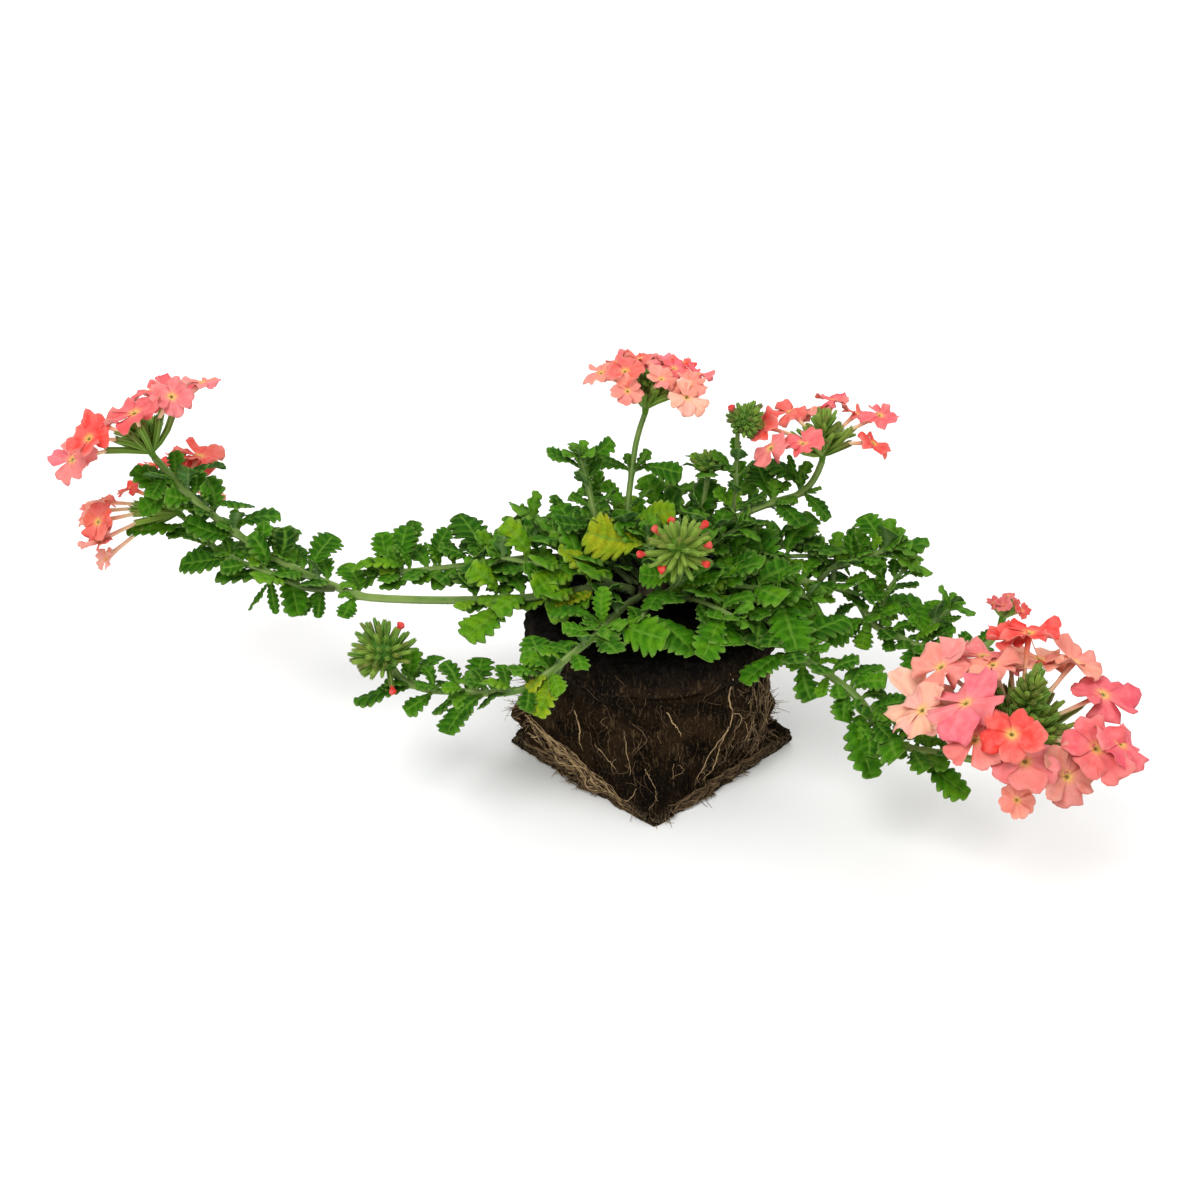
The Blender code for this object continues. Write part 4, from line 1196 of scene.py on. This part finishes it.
def leafy_stretches(green):
    """Crossed pairs that fill the stems between the others, and the leaves marked by their look."""
    rng = np.random.default_rng(77)
    for number, (name, first, last, spacing, length, tone) in enumerate(LEAFY, 1):
        route = refined(ROUTES[name], 4)
        steps = np.linalg.norm(np.diff(route, axis=0), axis=1)
        travelled = np.concatenate(([0], steps.cumsum())) / MM
        ahead, side, other = frames_along(route)
        shape = Shape()
        marks = np.arange(first * travelled[-1], last * travelled[-1], spacing)
        for k, mark in enumerate(marks):
            i = int(np.searchsorted(travelled, mark + rng.normal(0, 0.1 * spacing)))
            i = min(max(i, 1), len(route) - 2)
            along = Vector(ahead[i])
            turn = math.radians(90 * k + rng.normal(0, 14))
            outward = Vector(side[i] * math.cos(turn) + other[i] * math.sin(turn))
            outward.z *= 1 - 0.5 * (1 - abs(along.z))
            steepest = -0.45 if route[i][2] < 0.9 * SOIL_TOP * MM else -0.15
            for sign in (1, -1):
                heading = outward * sign + along * rng.uniform(0.35, 0.75) + UP * rng.uniform(0.05, 0.45)
                heading.z = max(heading.z, steepest)
                heading.normalize()
                size = length * rng.uniform(0.72, 1.12) * (1.05 - 0.3 * k / len(marks)) * MM
                roll = rng.normal(0, 14)
                shade = tone + 0.03 + rng.normal(0, 0.12)
                leaf_towards(shape, name, Vector(route[i]), along, heading, size, roll, shade, rng, 5, PLAIN)
        fine_piece(f"leafy_stretch_{number}_{name}", shape, [green], "leaf")
    shape = Shape()
    for stem, place, azimuth, rise, length, roll, tone, *wide in MARKED_LEAVES:
        middle, along = stretch_at(stem, place)
        size = length * MM
        heading = compass(azimuth, rise)
        leaf_towards(shape, stem, middle, along, heading, size, roll, tone, rng, 7, LARGE, *wide)
    fine_piece("leaves_marked", shape, [green], "leaf")


def growing_tips(green):
    """Young leaves crowded at the ends of stems that carry no flowers."""
    rng = np.random.default_rng(44)
    shape = Shape()
    for stem, count, length in GROWING_TIPS:
        end, along = end_of(stem)
        upwards = standing(end, (along + UP * 0.4).normalized()).to_3x3()
        for i in range(count):
            heading = upwards @ compass(GOLDEN_TURN * i, 90 - 72 * (i + 0.6) / count)
            size = length * (0.55 + 0.6 * i / count) * MM
            start = end - along * 1.5 * MM * i / count
            midrib = (start, start + (heading + along).normalized() * 0.3 * size, start + heading * size)
            leaf(shape, midrib, 0.32 * size, rng.normal(0, 20), 0.50, rng, 3, SMALL)
    fine_piece("growing_tips", shape, [green], "leaf")


def head_seat(stem, axis, radius):
    """Where a head of this foot radius sits on its stem's end."""
    end, ahead = end_of(stem)
    return end + axis * (GAP + radius * ahead.cross(axis).length)


def spiral(count, spread):
    """Tilts and turns in degrees that fill a cap of this spread evenly."""
    return [(spread * math.sqrt((i + 0.5) / count), GOLDEN_TURN * i) for i in range(count)]


def add_calyx(shape, pose, start, end, radius, tone, blush, rng, closed=False, finish=0):
    """A five-ribbed calyx along Z that ends in five narrow teeth."""
    sides = 15
    share = np.array((0, 0.08, 0.25, 0.6, 0.9, 1.0))
    if closed:
        profile, tooth = np.array((0.35, 0.6, 0.92, 1.0, 0.82, 0.45)), 0.7 * MM
    else:
        profile, tooth = np.array((0.32, 0.50, 0.75, 0.95, 1.0, 0.98)), 1.3 * MM
    angle = around(sides)
    rib = 0.5 + 0.5 * np.cos(5 * angle)
    wide = profile[:, None] * radius * (0.86 + 0.20 * rib)
    teeth = np.zeros((len(share), sides))
    teeth[-1] = rib ** 2 * tooth
    teeth[-2] = rib ** 2 * (0.2 if closed else 0.4) * MM
    z = start + (end - start) * share[:, None] + teeth
    bow = rng.normal(0, 0.035, 2) * (end - start)
    bend = np.sin(math.pi * share)[:, None]
    rings = np.stack((wide * np.cos(angle) + bow[0] * bend, wide * np.sin(angle) + bow[1] * bend, z), -1)
    inner = rings[-1] * (0.5, 0.5, 1)
    inner[:, 2] = end - 0.3 * MM
    rings = np.concatenate((rings, inner[None]))
    stripes = np.array((*[1] * len(share), 0.3))[:, None] * rib ** 3 * 0.75
    far = np.array((*share, 1))[:, None] * np.ones(sides)
    shape.tube(rings, finish, pose, tone=tone, ridge=stripes, blush=blush * far ** 2)
    row = rng.integers(1, len(share) - 1, HAIRS_TO_A_CALYX)
    column = rng.integers(0, sides, HAIRS_TO_A_CALYX)
    roots = placed(pose, rings[row, column])
    outward = placed(pose, rings[row, column] * (1, 1, 0)) - placed(pose, np.zeros(3))
    add_hairs(shape, roots, outward, CALYX_HAIRS, rng, finish)


def varied(colour, spread, limit, rng):
    """A colour with a small change of its own, least in its red."""
    return np.clip(colour * (1 + rng.normal(0, spread, 3) * (0.3, 1, 1)), 0, limit)


def colour_of(name, rng):
    """A petal colour with a small change of its own."""
    return varied(np.array(PETAL_COLOURS[name]), 0.05, 0.97, rng)


def opaque(colours):
    """Colours with a fourth number of 1."""
    colours = np.reshape(colours, (-1, 3))
    return np.hstack((colours, np.ones((len(colours), 1))))


def add_tube(shape, pose, start, reach, colour, finish=0):
    """The slender corolla tube between calyx and limb, pale towards the calyx."""
    sides, rings = 10, 7
    share = np.linspace(0, 1, rings)
    radius = np.interp(share, (0, 0.7, 1), (0.62, 0.8, 1.25)) * MM
    tint = TUBE_TINT * (1 - share[:, None]) + colour * share[:, None]
    points = upright(start + (reach - start) * share)
    shape.tube(sweep(points, radius, sides), finish, pose, colour=opaque(np.repeat(tint, sides, axis=0)))


def add_petal(shape, pose, radius, direction, colour, rng, cupping, finish):
    """One broad notched petal: s runs from the throat to its edge, and t from side to side."""
    rows, columns = 10, 11
    s = np.linspace(0, 1, rows)[:, None] ** 1.5
    t = np.linspace(-1, 1, columns)[None, :]
    size = radius * rng.uniform(0.86, 1.08)
    open_angle = math.radians(36) * (1.16 - 0.05 * bell(s, 0.45, 0.15) + 0.02 * s) * rng.uniform(0.94, 1.05)
    edge = size * (1 - 0.34 * np.abs(t) ** 2.6 - 0.12 * bell(t, 0, 0.2))
    distance = THROAT_RADIUS + (edge - THROAT_RADIUS) * s
    turn = direction + rng.normal(0, 0.05) + t * open_angle
    first, second = rng.uniform(0, math.tau, 2)
    droop = rng.normal(0.08, 0.19) - cupping
    wave = 0.14 * np.sin(3.4 * t + first) + 0.08 * np.sin(8 * t + second)
    lift = size * (-droop * s ** 2 + wave * s ** 2 + 0.08 * t * s) - 0.9 * MM * (1 - s) ** 8
    crease = 0.15 * MM * bell(t, 0, 0.12) * s
    middle = np.stack((distance * np.cos(turn), distance * np.sin(turn), lift - crease), -1)
    facing = unit(np.cross(np.gradient(middle, axis=0), np.gradient(middle, axis=1)))
    half = (PETAL_HALF_THICKNESS * MM * (1 - 0.45 * s))[..., None]
    own = varied(colour, 0.07, 0.95, rng)
    paler = (0.20 * (1 - s) ** 2 + rng.uniform(0, 0.42) * s ** 3) * np.ones_like(turn)
    tint = own + (PALE_EDGE - own) * paler[..., None]
    back = tint + (PALE_BACK - tint) * 0.30
    eye = min(max(radius / (10 * MM), 0.35), 1.1) * MM
    marks = {
        "streak": 0.30 * np.clip(np.cos(9.5 * t + first) * 2 - 1, 0, 1) * s * (1 - s) * 3,
        "ring": 0.35 * bell(distance, 2.0 * eye, 0.7 * eye),
        "eye": np.exp(-((distance / (1.6 * eye)) ** 4)),
        # Painted shade: the throat, where the tube opens, is painted dark
        "throat": np.exp(-((distance / (0.7 * eye)) ** 4)),
    }
    points = placed(pose, np.stack((middle + facing * half, middle - facing * half)))
    faces = [array[:, ::-1] for array in sheet_faces(rows, columns)]
    both = {name: np.stack((mark, mark * 0.3)) for name, mark in marks.items()}
    shape.add(points, faces, finish, colour=opaque(np.stack((tint, back))), **both)


def add_limb(shape, pose, radius, colour, rng, cupping, finish=0):
    """Petals round the throat, each lapping over the next."""
    spin = rng.uniform(0, math.tau)
    for k in range(PETALS):
        add_petal(shape, pose, radius, spin + math.tau * k / PETALS, colour, rng, cupping, finish)


def add_bud(shape, pose, start, length, radius, colour, rng):
    """An unopened corolla in the second finish: a small rounded club."""
    sides = 10
    share = np.array((0, 0.35, 0.6, 0.8, 0.93, 1.0))
    wide = np.array((0.5, 0.6, 0.95, 1.0, 0.72, 0.2)) * radius
    angle = around(sides)
    lobed = wide[:, None] * (1 + 0.20 * np.cos(3 * angle + rng.uniform(0, 6)) + 0.10 * np.cos(5 * angle))
    shape.tube(sweep(upright(start + length * share), lobed, sides), 1, pose, colour=opaque(colour))


def turned(heart, tilt, turn):
    """The heart's frame with its Z at a tilt from the axis and a turn about it, in degrees."""
    return heart @ Matrix.Rotation(math.radians(turn), 4, "Z") @ Matrix.Rotation(math.radians(tilt), 4, "Y")


def limb_pose(pose, reach, rng):
    """Pose of a limb at the end of its tube: outward and up, and turned to the sun at the back of a head."""
    end = pose @ Vector((0, 0, reach))
    outward = (pose.to_3x3() @ Vector((0, 0, 1))).normalized()
    facing = (outward * 0.6 + FACING + Vector(rng.normal(0, 0.16, 3))).normalized()
    return standing(end, facing + TOWARDS_SUN * 1.4 * max(0, 0.35 - facing.dot(TOWARDS_SUN)))


def open_heads(green, petal):
    """Heads in bloom: a fan of calyces from the stem's end and the florets at their tips."""
    rng = np.random.default_rng(55)
    for name, (stem, direction, height, radius, florets) in OPEN_HEADS.items():
        axis = Vector(direction).normalized()
        foot = head_seat(stem, axis, CUP_FOOT_RADIUS * MM)
        heart = standing(foot + axis * (height * MM + GAP + CORE_HEIGHT * MM / 2), axis)
        calyces = Shape()
        blooms = Shape()
        core = np.array((0.9, 1.15, 1.3, 1.45, 1.5, 1.5, 1.3, 0.7)) * MM
        core_axis = upright(np.linspace(-(height + 4), 2.5, len(core))) * MM
        calyces.tube(sweep(core_axis, core, 12), 0, heart, tone=0.6)
        fan = foot + axis * 0.3 * height * MM
        for tilt, turn, reach, limb, colour_name in florets:
            pose = turned(heart, tilt, turn)
            colour = colour_of(colour_name, rng)
            calyx_end = min(0.52 * reach, 14) * MM
            along = pose @ Vector((0, 0, calyx_end)) - fan
            tone = rng.uniform(0.45, 1.0)
            blush = rng.choice((0, 0, 0.2, 0.6))
            girth = OPEN_CALYX_RADIUS * MM
            add_calyx(calyces, standing(fan, along), 0.6 * MM, along.length, girth, tone, blush, rng)
            add_tube(blooms, pose, calyx_end - 1.5 * MM, (reach - 0.9) * MM, colour)
            end = limb_pose(pose, reach * MM, rng)
            add_limb(blooms, end, limb * MM, colour, rng, rng.uniform(-0.05, 0.14))
        inner, spread, longest = INNER_LARGE if radius > 5 else INNER_SMALL
        for i, (tilt, turn) in enumerate(spiral(inner, spread)):
            far = rng.uniform(0.65, 1) * longest * (0.85 + 0.45 * (i / inner) ** 3) * MM
            along = turned(heart, tilt, turn) @ Vector((0, 0, far)) - fan
            tone = rng.uniform(0.3, 1.0)
            blush = rng.choice((0, 0, 0.5))
            girth = CLOSED_CALYX_RADIUS * MM
            add_calyx(calyces, standing(fan, along), 1.0 * MM, along.length, girth, tone, blush, rng, True)
        fine_piece("calyces_" + name, calyces, [green], "calyx", "calyx_" + name)
        fine_piece("petals_" + name, blooms, [petal], "petals", "florets_" + name)
        young_buds(name, heart, green, petal, rng)


def young_buds(name, heart, green, petal, rng):
    """The cone of unopened buds in the middle of an open head."""
    count, cone = YOUNG_BUDS[name]
    shape = Shape()
    core = np.array((1.5, 1.4, 1.2, 1.0, 0.6)) * MM
    shape.tube(sweep(upright(np.linspace(0, cone, len(core))) * MM, core, 8), 0, heart, tone=0.5)
    for i in range(count):
        share = (i + 0.5) / count
        middle = heart @ Matrix.Translation((0, 0, cone * share * MM))
        pose = turned(middle, 74 * (1 - share) ** 0.8, GOLDEN_TURN * i)
        end = rng.uniform(8, 12) * (1 - 0.35 * share) * MM
        radius = rng.uniform(0.8, 1.1) * MM
        tone = rng.uniform(0.4, 1.0)
        add_calyx(shape, pose, 0.5 * MM, end, radius, tone, rng.choice((0, 0, 0.4)), rng, True)
        if i % 13 == 6:
            colour = colour_of("red", rng) * 0.6
            add_bud(shape, pose, end - 1.0 * MM, rng.uniform(2.5, 4.5) * MM, 1.15 * MM, colour, rng)
    fine_piece("young_buds_" + name, shape, [green, petal], "buds")


def bud_heads(green, petal):
    """Closed heads: calyces crowded round a core, some with a coloured tip."""
    rng = np.random.default_rng(66)
    for name, row in BUD_HEADS.items():
        stem, direction, heart_radius, radius, count, spread, thick, tone, core, showing = row
        axis = Vector(direction).normalized()
        heart = standing(head_seat(stem, axis, RADII[stem]) + axis * heart_radius * MM, axis)
        shape = Shape()
        rise = np.linspace(-1, 1, 9)
        wide = np.maximum(core * radius * np.sqrt(np.maximum(1 - rise ** 2, 0)), 1.0 - 0.4 * (rise > 0)) * MM
        core_axis = upright(rise * heart_radius * 1.25 * MM)
        shape.tube(sweep(core_axis, wide, 14), 0, heart, tone=0.6 * tone)
        for i, (tilt, turn) in enumerate(spiral(count, spread) + showing):
            low = heart @ Matrix.Translation((0, 0, (0.35 - 0.75 * tilt / 105) * heart_radius * MM))
            pose = turned(low, tilt * 0.92, turn)
            end = radius * rng.uniform(0.78, 1.0) * MM
            girth = rng.uniform(0.8, 1.15) * thick * MM
            own_tone = tone + rng.uniform(-0.35, 0.35)
            add_calyx(shape, pose, 0.8 * MM, end, girth, own_tone, rng.choice((0, 0, 0, 0.4)), rng, True)
            if i >= count and name == "young_head":
                colour = colour_of(rng.choice(("red", "rose")), rng) * 0.75 + 0.02
                add_tube(shape, pose, end - 1.5 * MM, end + 1.6 * MM, colour, 1)
                limb = limb_pose(pose, end + 1.9 * MM, rng)
                add_limb(shape, limb, rng.uniform(2.6, 4.0) * MM, colour, rng, 0.2, 1)
            elif i >= count:
                colour = colour_of(rng.choice(("red", "coral", "red")), rng) * 0.8
                add_bud(shape, pose, end - 1.2 * MM, rng.uniform(2.8, 4.2) * MM, 1.3 * MM, colour, rng)
        fine_piece(name + "_fine", shape, [green, petal], "buds", name)


def camera():
    """The photograph's view."""
    data = bpy.data.cameras.new("camera")
    data.lens = CAMERA_LENS
    data.sensor_width = SENSOR_WIDTH
    data.clip_start = 0.01
    view = new_object("camera", data)
    view.location = CAMERA_PLACE
    view.rotation_euler = (math.radians(90 - CAMERA_PITCH), 0, 0)
    bpy.context.scene.camera = view


def studio():
    """Pale floor, even white surroundings and three large soft lights."""
    bpy.context.scene.view_settings.view_transform = "Standard"
    world = bpy.data.worlds.new("studio")
    world.use_nodes = True
    background = world.node_tree.nodes["Background"]
    background.inputs["Color"].default_value = (1, 1, 1, 1)
    background.inputs["Strength"].default_value = SURROUNDING_LIGHT
    bpy.context.scene.world = world
    for name, (place, power, size) in LIGHTS.items():
        data = bpy.data.lights.new(name, "AREA")
        data.energy = power
        data.size = size
        light = new_object(name, data)
        light.location = place
        light.rotation_euler = (LIT_PLACE - Vector(place)).to_track_quat("-Z", "Y").to_euler()
    mesh = bpy.data.meshes.new("floor")
    corners = [(x * FLOOR_HALF, y * FLOOR_HALF, 0) for x, y in ((-1, -1), (1, -1), (1, 1), (-1, 1))]
    mesh.from_pydata(corners, [], [(0, 1, 2, 3)])
    finish = Finish("floor", 0.9)
    finish.paint((0.97, 0.97, 0.965))
    mesh.materials.append(finish.material)
    new_object("floor", mesh)


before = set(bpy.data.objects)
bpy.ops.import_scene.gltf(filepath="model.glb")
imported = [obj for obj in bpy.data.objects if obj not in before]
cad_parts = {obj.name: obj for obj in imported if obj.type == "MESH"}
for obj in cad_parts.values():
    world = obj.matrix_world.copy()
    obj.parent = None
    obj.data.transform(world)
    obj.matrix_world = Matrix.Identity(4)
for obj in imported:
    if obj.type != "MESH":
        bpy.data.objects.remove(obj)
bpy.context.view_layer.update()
camera()
studio()
find_routes()
root_ball(peat_finish())
soil_cap(soil_finish())
tan_roots = root_finish()
body_roots(tan_roots)
root_bundles(tan_roots)
crown(bark_finish())
stems(stem_finish())
leaf_green = leaf_finish()
leaf_pairs(leaf_green)
leafy_stretches(leaf_green)
growing_tips(leaf_green)
calyx_green = calyx_finish()
petal_skin = petal_finish()
open_heads(calyx_green, petal_skin)
bud_heads(calyx_green, petal_skin)
